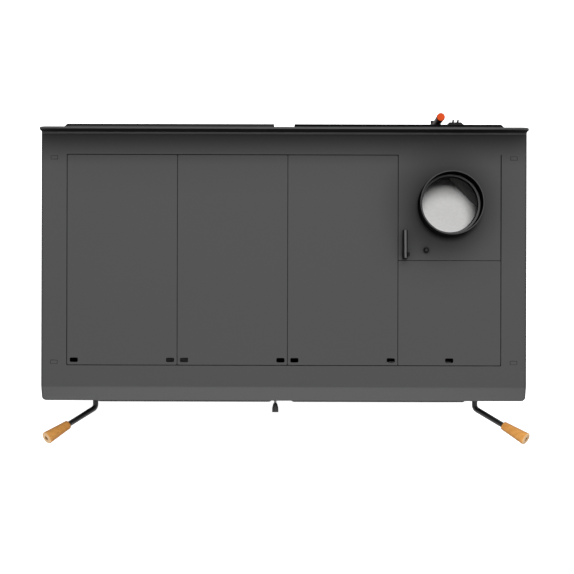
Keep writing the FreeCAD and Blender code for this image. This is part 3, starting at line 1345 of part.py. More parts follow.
def make_tool_holder():
    """Bracket on the right heat shield: an open fork for the lifter and a two-pronged hook beside it."""
    low = HOLDER_TOP - HOLDER_SHEET
    notch = LIFTER_ROD / 2 + FORK_GAP
    fork_half = notch + FORK_TINE
    hook_left = LIFTER_X + HOOK_SHELF_LEFT
    hook_right = hook_left + HOOK_SHELF_WIDTH
    hook_rear = SHIELD_REAR + HOOK_SHELF_DEPTH
    back = block(LIFTER_X - fork_half, hook_right, SHIELD_REAR, SHIELD_REAR + HOLDER_BACK_SHEET,
                 HOLDER_TOP - HOLDER_HEIGHT, HOLDER_TOP)
    fork_left = LIFTER_X - fork_half
    fork_right = LIFTER_X + fork_half
    fork = block(fork_left, fork_right, SHIELD_REAR, LIFTER_Y + FORK_REACH, low, HOLDER_TOP)
    shelf_points = [V(hook_left, SHIELD_REAR, low), V(hook_left, hook_rear - HOOK_SHELF_CHAMFER, low),
                    V(hook_left + HOOK_SHELF_CHAMFER, hook_rear, low),
                    V(hook_right - HOOK_SHELF_CHAMFER, hook_rear, low),
                    V(hook_right, hook_rear - HOOK_SHELF_CHAMFER, low), V(hook_right, SHIELD_REAR, low)]
    shelf = prism(shelf_points, V(0, 0, HOLDER_SHEET))
    prongs = []
    middle = (hook_left + hook_right) / 2
    for side in (-1, 1):
        x0 = middle + side * PRONG_PITCH / 2 - PRONG_WIDTH / 2
        tip = hook_rear + PRONG_REACH
        prongs.append(block(x0, x0 + PRONG_WIDTH, hook_rear, tip, low, HOLDER_TOP))
        prongs.append(block(x0, x0 + PRONG_WIDTH, tip - PRONG_WIDTH, tip, low, HOLDER_TOP + PRONG_TIP))
    slot = block(LIFTER_X - notch, LIFTER_X + notch, LIFTER_Y, LIFTER_Y + FORK_REACH, low, HOLDER_TOP)
    slot_end = upright(LIFTER_X, LIFTER_Y, low, HOLDER_TOP, 2 * notch)
    save("tool_holder", joined(back, fork, shelf, *prongs).cut([slot, slot_end]))


BOARD_TOP = OVEN_DOOR.mouth_top + OVEN_SHEET + BOARD_THICK
BOARD_RIGHT = mouth_span(OVEN_DOOR, OVEN_SHEET)[1] + BOARD_RIGHT_REACH


def main():
    os.makedirs("parts", exist_ok=True)
    save("top_frame", make_top_frame())
    make_plates()
    make_plate_supports()
    make_flue()
    make_damper()
    make_stop_bolt()
    screws = make_sides() + make_heat_shields()
    save("casing_screws", *screws)
    make_back_and_bottom()
    make_legs()
    make_front_panel()
    make_hinge_pins()
    make_doors()
    make_thermometer()
    make_firebox_shell()
    make_firebricks()
    make_grate()
    make_ash_tray()
    make_drawer_front()
    make_air_register()
    make_runners()
    make_oven()
    make_cleanout()
    make_air_control()
    make_lifter()
    make_tool_holder()


main()
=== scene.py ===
import json
import math

import bmesh
import bpy
from bpy.props import FloatProperty, FloatVectorProperty, PointerProperty
from mathutils import Matrix, Vector

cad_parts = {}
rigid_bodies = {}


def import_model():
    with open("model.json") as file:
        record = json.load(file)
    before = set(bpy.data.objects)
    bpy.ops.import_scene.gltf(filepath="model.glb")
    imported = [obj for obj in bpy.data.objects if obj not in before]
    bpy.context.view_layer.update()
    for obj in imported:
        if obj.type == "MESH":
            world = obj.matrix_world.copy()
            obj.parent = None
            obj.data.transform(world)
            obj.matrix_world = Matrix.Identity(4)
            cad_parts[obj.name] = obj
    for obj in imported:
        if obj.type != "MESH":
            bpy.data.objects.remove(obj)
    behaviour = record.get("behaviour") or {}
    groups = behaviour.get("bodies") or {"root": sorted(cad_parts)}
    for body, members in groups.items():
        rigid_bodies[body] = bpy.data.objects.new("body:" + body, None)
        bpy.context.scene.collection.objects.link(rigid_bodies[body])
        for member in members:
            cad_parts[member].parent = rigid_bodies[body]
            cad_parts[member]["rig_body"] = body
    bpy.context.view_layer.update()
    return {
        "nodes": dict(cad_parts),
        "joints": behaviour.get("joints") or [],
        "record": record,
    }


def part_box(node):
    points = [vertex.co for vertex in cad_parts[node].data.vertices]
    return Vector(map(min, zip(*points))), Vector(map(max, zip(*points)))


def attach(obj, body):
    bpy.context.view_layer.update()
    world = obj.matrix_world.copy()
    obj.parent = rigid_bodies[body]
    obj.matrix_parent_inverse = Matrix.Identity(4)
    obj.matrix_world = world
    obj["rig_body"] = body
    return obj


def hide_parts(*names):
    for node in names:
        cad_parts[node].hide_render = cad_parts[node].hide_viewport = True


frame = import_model()
JOINTS = {joint["name"]: joint for joint in frame["joints"]}

bl_info = {
    "name": "Wood cook stove",
    "version": (1, 0, 0),
    "blender": (4, 5, 0),
    "location": "3D View > Sidebar > Stove",
    "description": "Builds the visible pieces of a wood cook stove on its packed frame",
    "category": "Object",
}

UP = Vector((0, 0, 1))
BACK = Vector((0, 1, 0))
RIGHT = Vector((1, 0, 0))
TO_FRONT = Matrix.Rotation(math.pi / 2, 4, "X")
SWAP_Y_AND_Z = Matrix(((1, 0, 0, 0), (0, 0, 1, 0), (0, 1, 0, 0), (0, 0, 0, 1)))
NEAR = 1e-6


def setting(name, description, default, **more):
    """A number that a user can change."""
    return FloatProperty(name=name, description=description, default=default, **more)


def length(name, description, default):
    """A length that a user can change."""
    return setting(name, description, default, min=0.0, unit="LENGTH", precision=4)


def angle(name, description, degrees):
    """An angle that a user can change."""
    return setting(name, description, math.radians(degrees), subtype="ANGLE")


def colour(name, description, default):
    """A colour that a user can change."""
    return FloatVectorProperty(name=name, description=description, default=default, size=3, min=0.0, max=1.0,
                               subtype="COLOR")


class StoveSizes(bpy.types.PropertyGroup):
    """Sizes of the visible pieces, in metres"""
    edge: length("Sheet edge", "Round on the edges of sheet metal", 0.0007)
    top_sheet: length("Top sheet", "Thickness of the bent top and its plates", 0.005)
    front_bend: length("Front bend", "Reach of the bend above the sloped lip", 0.004)
    rear_bend: length("Rear bend", "Inner radius of the bend before the upstand", 0.005)
    lip_run: length("Lip run", "Depth of the sloped lip in plan", 0.035)
    lip_drop: length("Lip drop", "How far the lip falls over its depth", 0.01414)
    lip_corner: length("Lip corner", "Radius of the lip's two front corners", 0.010)
    upstand_corner: length("Upstand corner", "Radius of the upstand's two upper corners", 0.018)
    seam: length("Plate seam", "Gap between neighbouring plates", 0.0016)
    tongue_seam: length("Tongue seam", "Gap between the small plate and the flue tongue", 0.0010)
    tab_length: length("Tab length", "Length of the locating tabs' holes", 0.0160)
    tab_width: length("Tab width", "Width of the locating tabs' holes", 0.0085)
    tab_from_side: length("Tab from side", "Distance of a tab from the top's side", 0.030)
    tab_from_bend: length("Tab from bend", "Distance of a tab from the nearer bend", 0.056)
    slot_length: length("Slot length", "Length of a lift slot", 0.019)
    slot_width: length("Slot width", "Width of a lift slot", 0.0105)
    slot_corner: length("Slot corner", "Corner radius of a lift slot and of a plate", 0.003)
    slot_from_side: length("Slot from side", "Distance of a slot from its plate's side", 0.0164)
    slot_from_front: length("Slot from front", "Distance of a slot from its plate's front", 0.012)
    flue_hole: length("Flue hole", "Radius of the hole in the top below the collar", 0.0644)
    collar_wall: length("Collar wall", "Wall of the flue collar", 0.0036)
    pipe_seat: length("Pipe seat", "Height of the ledge in the collar that a pipe stands on", 0.019)
    spindle_hole: length("Spindle hole", "Radius of the damper spindle's hole in the top", 0.0054)
    lever_width: length("Lever width", "Width of the damper lever", 0.006)
    lever_ahead: length("Lever ahead", "Reach of the damper lever ahead of its spindle", 0.0105)
    lever_behind: length("Lever behind", "Reach of the damper lever behind its spindle", 0.056)
    lever_rise: length("Lever rise", "Height of the lever's rear lower edge above the top", 0.008)
    lever_top: length("Lever top", "Height of the lever's rear above the top", 0.020)
    lever_crest: length("Lever crest", "How much higher the lever's front stands", 0.006)
    flank_width: length("Flank width", "Width of the lever's sloped flanks at their foot", 0.0125)
    flank_rise: length("Flank rise", "Height of the flanks' foot above the top", 0.0115)
    flank_top: length("Flank top", "Height at which the flanks meet the lever", 0.018)
    lever_hub: length("Lever hub", "Radius of the lever's hub", 0.00625)
    hub_gap: length("Hub gap", "Gap between the lever's hub and the top", 0.0005)
    rod: length("Handle rod", "Radius of the bent handle rods", 0.007)
    rod_bend: length("Rod bend", "Radius of the bend in the handle rods", 0.014)
    rod_reach: length("Rod reach", "Distance from a handle's pivot to its bend", 0.055)
    rod_short: length("Rod short", "How far a rod ends before the end of its grip", 0.016)
    handle_bend: angle("Handle bend", "Angle of the bend in the handle rods", 63.0)
    firebox_roll: angle("Firebox handle", "Rise of the firebox door's handle", 40.2)
    oven_roll: angle("Oven handle", "Rise of the oven door's handle", 34.8)
    arm: length("Handle arm", "Length of a handle from its bend to its end", 0.161)
    grip: length("Grip length", "Length of the wooden grips", 0.071)
    grip_small: length("Grip inner radius", "Radius of a grip where the rod enters", 0.011)
    grip_large: length("Grip outer radius", "Radius of a grip at its free end", 0.016)
    grip_hole: length("Grip hole", "Radius of the hole in a grip's end", 0.0054)
    panel_sheet: length("Panel sheet", "Sheet of the pressed fronts", 0.003)
    panel_round: length("Panel round", "Radius round the face of the pressed fronts", 0.009)
    window_width: length("Window width", "Width of a door window", 0.300)
    window_corner: length("Window corner", "Corner radius of a door window", 0.014)
    meter_hole: length("Meter hole", "Radius of the hole for the thermometer", 0.0285)
    pane_lap: length("Pane lap", "How far a pane reaches behind the panel", 0.012)
    rope: length("Seal rope", "Width of the rope seals", 0.009)
    rope_turn: length("Seal corner", "Outer radius at the corners of the rope seals", 0.017)
    register: length("Register", "Radius of the air register's disc", 0.046)
    register_sheet: length("Register sheet", "Thickness of the air register's disc", 0.003)
    register_gap: length("Register gap", "Running gap behind the air register", 0.0003)
    air_hole: length("Air hole", "Radius of an air hole", 0.012)
    air_circle: length("Air hole circle", "Radius of the circle of air holes", 0.028)
    cover_knob: length("Cover knob", "Largest radius of the knobs of the clean-out cover", 0.012)
    screw_from_top: length("Screw from top", "Distance of the side screws from the casing's top", 0.015)
    screw_pitch: length("Screw pitch", "Distance between the side screws", 0.2)
    spacer_inset: length("Spacer inset", "Distance of the shield screws from the sheets' edges", 0.060)
    shield_gap: length("Shield gap", "Gap between the two rear heat shields", 0.048)
    shield_sheet: length("Shield sheet", "Sheet of the rear heat shields", 0.002)
    shield_flange: length("Shield flange", "Width of the edge folded forward along the shields' tops", 0.006)
    shield_bevel: length("Shield bevel", "Width of the shields' sloped outer ends", 0.012)
    spacer: length("Spacer", "Radius of the shields' spacers", 0.008)


class StoveColours(bpy.types.PropertyGroup):
    """Colours of the finishes"""
    cooktop: colour("Cooktop paint", "Satin black of the top and its plates", (0.0855, 0.0855, 0.086))
    casing: colour("Casing paint", "Satin black of the casing and fronts", (0.022, 0.022, 0.0225))
    collar: colour("Collar paint", "Matt black of the flue collar", (0.012, 0.012, 0.0123))
    # painted highlight: the lighter colour given to the flue collar's top faces
    rim: colour("Collar rim", "Top of the flue collar", (0.075, 0.075, 0.0755))
    # painted highlight: the lighter colour given to the pipe seat's top faces
    seat: colour("Pipe seat", "Top of the ledge in the collar", (0.105, 0.105, 0.1055))
    rods: colour("Rod black", "Black of the rods and fittings", (0.010, 0.010, 0.0104))
    # painted highlight: the lighter colour of the damper lever's top faces stands in for the light along its
    # top
    worn: colour("Worn bar", "Top of the damper lever where hands touch it", (0.125, 0.125, 0.124))
    # painted highlight: the lighter colour given to the stop bolt's flat end
    bolt: colour("Worn bolt", "Flat end of the stop bolt", (0.038, 0.038, 0.038))
    soot: colour("Soot", "Sooted plate below the top", (0.028, 0.0275, 0.027))
    steel: colour("Bare steel", "Bare plate", (0.36, 0.355, 0.35))
    wire: colour("Plated wire", "Bright wire of the oven rack", (0.74, 0.74, 0.75))
    liner: colour("Oven sheet", "Stainless sheet of the oven", (0.52, 0.515, 0.50))
    iron: colour("Cast iron", "Grate", (0.045, 0.043, 0.041))
    brick: colour("Firebrick", "Fired clay of the bricks", (0.62, 0.47, 0.30))
    board: colour("Mineral board", "Pale board over the oven", (0.88, 0.875, 0.865))
    rope: colour("Rope seal", "Graphited rope", (0.05, 0.05, 0.052))
    wood_light: colour("Beech light", "Light bands of the grips", (0.97, 0.48, 0.135))
    wood_dark: colour("Beech dark", "Dark bands of the grips", (0.74, 0.30, 0.060))
    # painted light: this lighter colour stands in for light on the grips' end faces
    wood_end_lit: colour("Beech end", "End grain of the grips", (1.0, 0.66, 0.36))
    knob: colour("Moulded knob", "Black moulding of the knobs", (0.012, 0.012, 0.0125))
    vinyl: colour("Red grip", "Dipped grip of the lifter", (0.74, 0.090, 0.020))
    dial: colour("Dial", "Matt enamel of the thermometer dial", (0.80, 0.79, 0.75))
    pane: colour("Pane tint", "Tint of the heat-proof panes", (0.020, 0.019, 0.018))
    lens: colour("Lens tint", "Tint of the thermometer's lens", (0.90, 0.92, 0.92))


class StoveStage(bpy.types.PropertyGroup):
    """The camera, the lamps and the floor"""
    camera_x: setting("Camera X", "Camera to the right of the middle", 0.0042, unit="LENGTH")
    camera_y: setting("Camera Y", "Camera behind the middle", -0.20825, unit="LENGTH")
    camera_height: setting("Camera height", "Camera above the floor", 4.0005, unit="LENGTH")
    lens: setting("Lens", "Focal length", 84.1, unit="CAMERA")
    shift_x: setting("Shift X", "Sideways shift of the lens", 0.0026)
    shift_y: setting("Shift Y", "Vertical shift of the lens", 0.1076)
    roll: angle("Roll", "Turn of the picture", 0.15)
    overhead: setting("Overhead light", "Power of the lamp overhead", 350.0, unit="POWER")
    rear: setting("Rear light", "Power of the broad rear lamp", 168.0, unit="POWER")
    front: setting("Front sheen", "Power of the lamp that the lip reflects", 78.0, unit="POWER")
    fill: setting("Front fill", "Power of the low lamp before the fronts", 60.0, unit="POWER")
    sky: setting("Surround", "Strength of the even surround", 0.06)
    backdrop: setting("Floor glow", "White that the floor shows to the camera", 0.94)
    floor: colour("Floor", "Pale studio floor", (0.86, 0.86, 0.86))


def sizes():
    return bpy.context.scene.stove_sizes


def colours():
    return bpy.context.scene.stove_colours


# Places on the frame
def spot(joint):
    """The place of a joint."""
    return Vector(JOINTS[joint]["pos_m"])


def middle_of(node):
    """The middle of a CAD node's box."""
    low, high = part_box(node)
    return (low + high) / 2


def cook_height():
    """The height of the cooking surface."""
    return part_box("cook_plate_1")[1].z


# Materials
class Finish:
    """A node material on Object coordinates, built up step by step."""
    COLOUR_INPUTS = (6, 7)
    COLOUR_RESULT = 2

    def __init__(self, name, base, roughness, metallic=0.0, shine=None):
        self.material = bpy.data.materials.new(name)
        self.material.use_nodes = True
        self.tree = self.material.node_tree
        self.surface = self.tree.nodes["Principled BSDF"]
        self.base = Vector(base)
        self.set(self.surface, "Base Color", (*base, 1.0))
        self.set(self.surface, "Roughness", roughness)
        self.set(self.surface, "Metallic", metallic)
        if shine is not None:
            self.set(self.surface, "Specular IOR Level", shine)
        self.place = self.node("TexCoord").outputs["Object"]

    def node(self, kind):
        return self.tree.nodes.new("ShaderNode" + kind)

    def set(self, node, socket, value):
        node.inputs[socket].default_value = value

    def feed(self, node, socket, source):
        self.tree.links.new(source, node.inputs[socket])

    def give(self, node, socket, value):
        """Links a socket to another, or sets it to a constant."""
        if isinstance(value, bpy.types.NodeSocket):
            self.feed(node, socket, value)
        else:
            self.set(node, socket, value)

    def mapped(self, turn=(0, 0, 0), stretch=(1, 1, 1), move=(0, 0, 0)):
        node = self.node("Mapping")
        self.feed(node, "Vector", self.place)
        self.set(node, "Location", move)
        self.set(node, "Rotation", turn)
        self.set(node, "Scale", stretch)
        return node.outputs["Vector"]

    def noise(self, scale, detail=3.0, rough=0.5, place=None):
        node = self.node("TexNoise")
        self.feed(node, "Vector", place or self.place)
        self.set(node, "Scale", scale)
        self.set(node, "Detail", detail)
        self.set(node, "Roughness", rough)
        return node.outputs["Fac"]

    def cells(self, scale, output):
        node = self.node("TexVoronoi")
        self.feed(node, "Vector", self.place)
        self.set(node, "Scale", scale)
        return node.outputs[output]

    def waves(self, scale, distortion, place, detail):
        node = self.node("TexWave")
        self.feed(node, "Vector", place)
        self.set(node, "Scale", scale)
        self.set(node, "Distortion", distortion)
        self.set(node, "Detail", detail)
        return node.outputs["Fac"]

    def span(self, source, low, high, to_low, to_high):
        """A value carried over from one span to another."""
        node = self.node("MapRange")
        self.feed(node, "Value", source)
        for socket, value in (("From Min", low), ("From Max", high), ("To Min", to_low), ("To Max", to_high)):
            self.set(node, socket, value)
        return node.outputs["Result"]

    def mix(self, amount, first, second):
        """Colours first and second, mixed by a value."""
        node = self.node("Mix")
        node.data_type = "RGBA"
        self.feed(node, "Factor", amount)
        for socket, value in zip(self.COLOUR_INPUTS, (first, second)):
            self.give(node, socket, value if isinstance(value, bpy.types.NodeSocket) else (*value, 1.0))
        return node.outputs[self.COLOUR_RESULT]

    def combine(self, operation, first, second):
        """Two values joined by an operation. The second may be a number."""
        node = self.node("Math")
        node.operation = operation
        self.feed(node, 0, first)
        self.give(node, 1, second)
        return node.outputs[0]

    def larger(self, first, second):
        return self.combine("MAXIMUM", first, second)

    def distance(self, place):
        """How far a point of the piece is from a place."""
        node = self.node("VectorMath")
        node.operation = "DISTANCE"
        self.feed(node, 0, self.place)
        self.set(node, 1, place)
        return node.outputs["Value"]

    def openness(self, reach, power):
        """1 on open faces and less in the corners, where other faces stand near; a colour darkened by it
        carries painted shade.
        """
        node = self.node("AmbientOcclusion")
        node.samples = 16
        self.set(node, "Distance", reach)
        return self.combine("POWER", node.outputs["AO"], power)

    def split(self, source):
        """The X, Y and Z of a place or a direction."""
        node = self.node("SeparateXYZ")
        self.feed(node, "Vector", source)
        return node.outputs

    def facing(self, axis, low, high):
        """0 to 1 as the part of the face's direction along an axis goes from low to high."""
        direction = self.split(self.node("NewGeometry").outputs["Normal"])
        return self.span(direction[axis], low, high, 0.0, 1.0)

    def facing_up(self, low, high):
        """0 on upright faces and 1 on faces that look up."""
        return self.facing("Z", low, high)

    def tone(self, amount, low, high):
        """The base colour, darker and lighter with a value."""
        return self.mix(amount, self.base * low, self.base * high)

    def paint(self, source):
        self.feed(self.surface, "Base Color", source)

    def gloss(self, source, low, high):
        """Roughness from low to high with a noise."""
        self.feed(self.surface, "Roughness", self.span(source, 0.3, 0.7, low, high))

    def relief(self, source, depth, strength=0.5):
        node = self.node("Bump")
        self.feed(node, "Height", source)
        self.set(node, "Distance", depth)
        self.set(node, "Strength", strength)
        self.feed(self.surface, "Normal", node.outputs["Normal"])


def paint_grain(finish):
    """The fine, even grain of sprayed paint, with a hint of cloud."""
    grain = finish.tone(finish.noise(420.0, 3.0, 0.6), 0.93, 1.07)
    return finish.mix(finish.span(finish.noise(3.2), 0.35, 0.65, 0.0, 0.35), grain, finish.base * 0.96)


def satin_paint(name, base, rough, shine):
    """Heat-proof paint: a fine even grain and a slightly uneven sheen."""
    finish = Finish(name, base, rough, shine=shine)
    finish.paint(paint_grain(finish))
    finish.gloss(finish.noise(11.0, 5.0), rough - 0.04, rough + 0.05)
    finish.relief(finish.noise(900.0, 2.0), 0.00005)
    return finish.material


def cooktop_paint(name, base, flue, upstand, half):
    """Paint of the cooktop, with light and shade painted into its colour: open faces keep it, while painted
    shade darkens the upright faces, the corners and the side edges, painted shadows of the upstand and of the
    collar lie before the upstand and round the flue, and painted light brightens the foot of the upstand's
    bend, its top edge and the paint within the collar's radius."""
    finish = Finish(name, base, 0.28, shine=0.10)
    place = finish.split(finish.place)
    # painted shade: flat is 0 on upright faces, which are darkened below to 0.03 of the colour
    flat = finish.facing_up(0.35, 0.85)
    # painted shadow of the collar: darker, down to 0.72, in a ring centred a little left of the flue
    collar_shadow = finish.span(finish.distance(flue + Vector((-0.02, 0, 0))), 0.070, 0.150, 0.72, 1.0)
    # painted light: within the collar's radius the colour is made 2.4 times lighter, undoing the shade there
    ledge = finish.span(finish.distance(flue), 0.0715, 0.0725, 2.4, 0.0)
    # painted shadow of the upstand: darker, down to 0.40, on the flat towards the upstand
    upstand_shadow = finish.span(place["Y"], upstand - 0.078, upstand, 1.0, 0.40)
    # painted highlight on the foot of the bend before the upstand
    bend = finish.span(place["Y"], upstand - 0.0065, upstand - 0.0045, 0.0, 2.0)
    # painted highlight on the upstand's top edge
    rim = finish.span(place["Y"], upstand, upstand + 0.0005, 0.0, 1.7)
    # painted shade along the top's two side edges
    side = finish.span(finish.combine("ABSOLUTE", place["X"], 0.0), half - 0.0065, half, 1.0, 0.62)
    # painted shade in the corners; clean gathers it with all the painted light and shade above
    clean = finish.openness(0.15, 1.3)
    for part in (finish.larger(finish.larger(upstand_shadow, bend), rim),
                 finish.larger(collar_shadow, ledge),
                 side,
                 finish.span(flat, 0.0, 1.0, 0.03, 1.0)):
        clean = finish.combine("MULTIPLY", clean, part)
    # clean, the painted light and shade, mixes the grained paint toward near black
    finish.paint(finish.mix(clean, finish.base * 0.02, paint_grain(finish)))
    finish.feed(finish.surface, "Roughness", finish.span(flat, 0.0, 1.0, 0.95, 0.28))
    finish.relief(finish.noise(900.0, 2.0), 0.00005)
    return finish.material


def top_lit_bar(name, base, worn, shine=0.08):
    """Black bar stock whose faces that look up are painted lighter, as a painted highlight."""
    finish = Finish(name, base, 0.6, shine=shine)
    grain = finish.noise(240.0, 4.0, 0.6)
    # painted highlight: faces that look up get this lighter tone, the others the dark grained one
    lit_face_tone = finish.mix(grain, Vector(worn) * 0.85, Vector(worn) * 1.15)
    finish.paint(finish.mix(finish.facing_up(0.80, 0.97), finish.tone(grain, 0.8, 1.25), lit_face_tone))
    finish.gloss(grain, 0.52, 0.68)
    finish.relief(finish.noise(500.0), 0.00006)
    return finish.material


def sooted_plate(name, base, lit_face_tone=1.0):
    """Plate under a dull, patchy coat of soot, with the faces that look to the left painted lighter by a
    factor, as painted light.
    """
    finish = Finish(name, base, 0.95, shine=0.03)
    patches = finish.noise(46.0, 5.0, 0.6)
    # painted light: the tone of the faces that look to the left, scaled by the factor
    thin = finish.tone(patches, 0.55 * lit_face_tone, 1.5 * lit_face_tone)
    finish.paint(finish.mix(finish.facing("X", -0.3, -0.6), finish.tone(patches, 0.55, 1.5), thin))
    finish.gloss(finish.noise(120.0, 4.0), 0.88, 0.99)
    finish.relief(finish.noise(300.0, 4.0), 0.0003, 0.6)
    return finish.material


def rod_paint(name, base):
    """Semi-gloss black on bars and fittings, with an uneven sheen."""
    finish = Finish(name, base, 0.34)
    finish.paint(finish.tone(finish.noise(60.0, 4.0), 0.8, 1.25))
    finish.gloss(finish.noise(140.0, 4.0), 0.28, 0.42)
    finish.relief(finish.noise(500.0), 0.00006)
    return finish.material


def drawn_steel(name, base, stretch, rough, stain):
    """Bare plate with drawing lines along one way and a little stain."""
    finish = Finish(name, base, rough, metallic=0.9)
    lines = finish.noise(1.0, 5.0, 0.6, finish.mapped(stretch=stretch))
    cloud = finish.noise(7.0, 5.0, 0.6)
    tone = finish.tone(lines, 0.8, 1.15)
    finish.paint(finish.mix(finish.span(cloud, 0.45, 0.75, 0.0, stain), tone, (0.10, 0.075, 0.055)))
    finish.feed(finish.surface, "Roughness", finish.span(lines, 0.25, 0.75, rough - 0.09, rough + 0.09))
    finish.relief(lines, 0.00004)
    return finish.material


def bright_wire(name, base):
    """Plated wire with a slightly uneven shine."""
    finish = Finish(name, base, 0.16, metallic=1.0)
    finish.paint(finish.tone(finish.noise(90.0), 0.9, 1.05))
    finish.gloss(finish.noise(220.0), 0.11, 0.26)
    return finish.material


def sand_cast(name, base):
    """Sand-cast iron with a grainy skin and a little rust."""
    finish = Finish(name, base, 0.68, metallic=0.55)
    grain = finish.noise(420.0, 4.0, 0.65)
    rust = finish.span(finish.noise(24.0, 5.0), 0.55, 0.75, 0.0, 0.6)
    finish.paint(finish.mix(rust, finish.tone(grain, 0.7, 1.35), (0.10, 0.045, 0.022)))
    finish.gloss(grain, 0.58, 0.8)
    finish.relief(grain, 0.0006, 0.7)
    return finish.material


def fired_clay(name, base):
    """Firebrick: sandy body with dark specks and patches of soot."""
    finish = Finish(name, base, 0.9)
    grit = finish.noise(260.0, 5.0, 0.7)
    specks = finish.span(finish.cells(170.0, "Distance"), 0.0, 0.28, 1.0, 0.0)
    tone = finish.tone(finish.noise(16.0, 5.0), 0.82, 1.12)
    speckled = finish.mix(finish.span(specks, 0.55, 1.0, 0.0, 0.55), tone, (0.24, 0.15, 0.08))
    soot = finish.span(finish.noise(9.0, 4.0), 0.42, 0.66, 0.0, 0.75)
    finish.paint(finish.mix(soot, speckled, (0.07, 0.06, 0.052)))
    finish.gloss(grit, 0.82, 0.95)
    finish.relief(grit, 0.0009, 0.6)
    return finish.material


def mineral_board(name, base):
    """Pressed board of pale flakes."""
    finish = Finish(name, base, 0.8)
    flakes = finish.node("SeparateColor")
    finish.feed(flakes, "Color", finish.cells(240.0, "Color"))
    finish.paint(finish.tone(flakes.outputs["Red"], 0.96, 1.02))
    finish.feed(finish.surface, "Roughness", finish.span(flakes.outputs["Green"], 0.0, 1.0, 0.68, 0.9))
    finish.relief(finish.noise(300.0, 4.0), 0.0004)
    return finish.material


def turned_beech(name, light, dark, end, along, root, long):
    """Oiled beech with its grain along a grip, darker toward the rod, with painted shade on its sides and in
    the hole and painted light on its end face.
    """
    finish = Finish(name, light, 0.5, shine=0.2)
    turn = Vector(along).rotation_difference(RIGHT).to_euler()
    shift = -(turn.to_matrix() @ Vector(root))

    def on_grip(*stretch):
        return finish.mapped(turn, stretch, [size * part for size, part in zip(stretch, shift)])

    out = finish.split(on_grip(1, 1, 1))["X"]
    fine = finish.noise(1.0, 4.0, 0.6, on_grip(16.0, 260.0, 260.0))
    rings = finish.waves(1.5, 5.0, on_grip(1.2, 22.0, 22.0), 3.0)
    banded = finish.mix(finish.span(rings, 0.15, 0.95, 0.0, 0.30), light, dark)
    body = finish.mix(finish.span(out, 0.0, long, 0.55, 0.0), banded, dark)
    lined = finish.mix(finish.span(fine, 0.46, 0.72, 0.0, 0.4), body, dark)
    # painted shade: faces that look sideways or down are darkened
    sides_shaded = finish.mix(finish.facing_up(0.10, 0.72), Vector(dark) * 0.60, lined)
    # painted light: the end face takes the lighter end colour
    end_lit = finish.mix(finish.span(out, long - 0.0030, long - 0.0008, 0.0, 1.0), sides_shaded, end)
    # painted shade in the hole and in the corners
    finish.paint(finish.mix(finish.openness(0.012, 1.3), Vector(dark) * 0.12, end_lit))
    finish.gloss(fine, 0.42, 0.60)
    finish.relief(fine, 0.00012)
    return finish.material


def moulding(name, base):
    """Black moulded knob with a slightly worn sheen."""
    finish = Finish(name, base, 0.42)
    finish.paint(finish.tone(finish.noise(120.0, 4.0), 0.8, 1.3))
    finish.gloss(finish.noise(70.0, 4.0), 0.34, 0.52)
    finish.relief(finish.noise(700.0, 2.0), 0.00005)
    return finish.material


def dipped_vinyl(name, base):
    """Dipped red grip with a soft, uneven skin, its sides painted near black as painted shade."""
    finish = Finish(name, base, 0.5, shine=0.06)
    skin = finish.tone(finish.noise(55.0, 4.0), 0.88, 1.08)
    # painted shade: faces that do not look up are darkened to near black
    finish.paint(finish.mix(finish.facing_up(0.30, 0.75), finish.base * 0.02, skin))
    finish.gloss(finish.noise(90.0), 0.42, 0.60)
    finish.relief(finish.noise(160.0), 0.0002)
    return finish.material


def braided_rope(name, base):
    """Graphited glass rope with crossed strands."""
    finish = Finish(name, base, 0.88)
    slant = math.radians(38)
    one, two = [finish.waves(62.0, 0.6, finish.mapped((0, turn, 0)), 1.0) for turn in (slant, -slant)]
    strands = finish.larger(one, two)
    finish.paint(finish.tone(strands, 0.45, 1.9))
    finish.gloss(finish.noise(400.0), 0.8, 0.95)
    finish.relief(strands, 0.0007, 0.8)
    return finish.material


def pane_glass(name, tint, cover, streak):
    """Heat-proof pane: see-through, with a tint and faint streaks."""
    finish = Finish(name, tint, 0.04)
    finish.set(finish.surface, "Alpha", cover)
    finish.set(finish.surface, "IOR", 1.52)
    streaks = finish.noise(1.0, 5.0, 0.6, finish.mapped(stretch=(26.0, 26.0, 5.0)))
    finish.paint(finish.tone(streaks, 1.0 - streak, 1.0 + streak))
    finish.feed(finish.surface, "Roughness", finish.span(streaks, 0.4, 0.8, 0.02, 0.02 + 0.22 * streak))
    return finish.material


def dial_enamel(name, base):
    """Matt enamel with a slightly uneven tone."""
    finish = Finish(name, base, 0.6)
    finish.paint(finish.tone(finish.noise(30.0, 4.0), 0.92, 1.03))
    finish.gloss(finish.noise(80.0), 0.52, 0.68)
    return finish.material


def flue_and_edges():
    """Where the painted light and shade of the cooktop sit: middle of the flue, front of the upstand and half
    width of the top.
    """
    flue = middle_of("flue_collar")
    flue.z = cook_height()
    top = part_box("top_frame")[1]
    return flue, top.y - sizes().top_sheet, top.x


FINISHES = {}
SOOTED = {
    "plate_supports": "soot",
    "firebox_shell": "soot",
    "damper_blade": "soot",
    "flue_chamber_wall": "chamber",
}


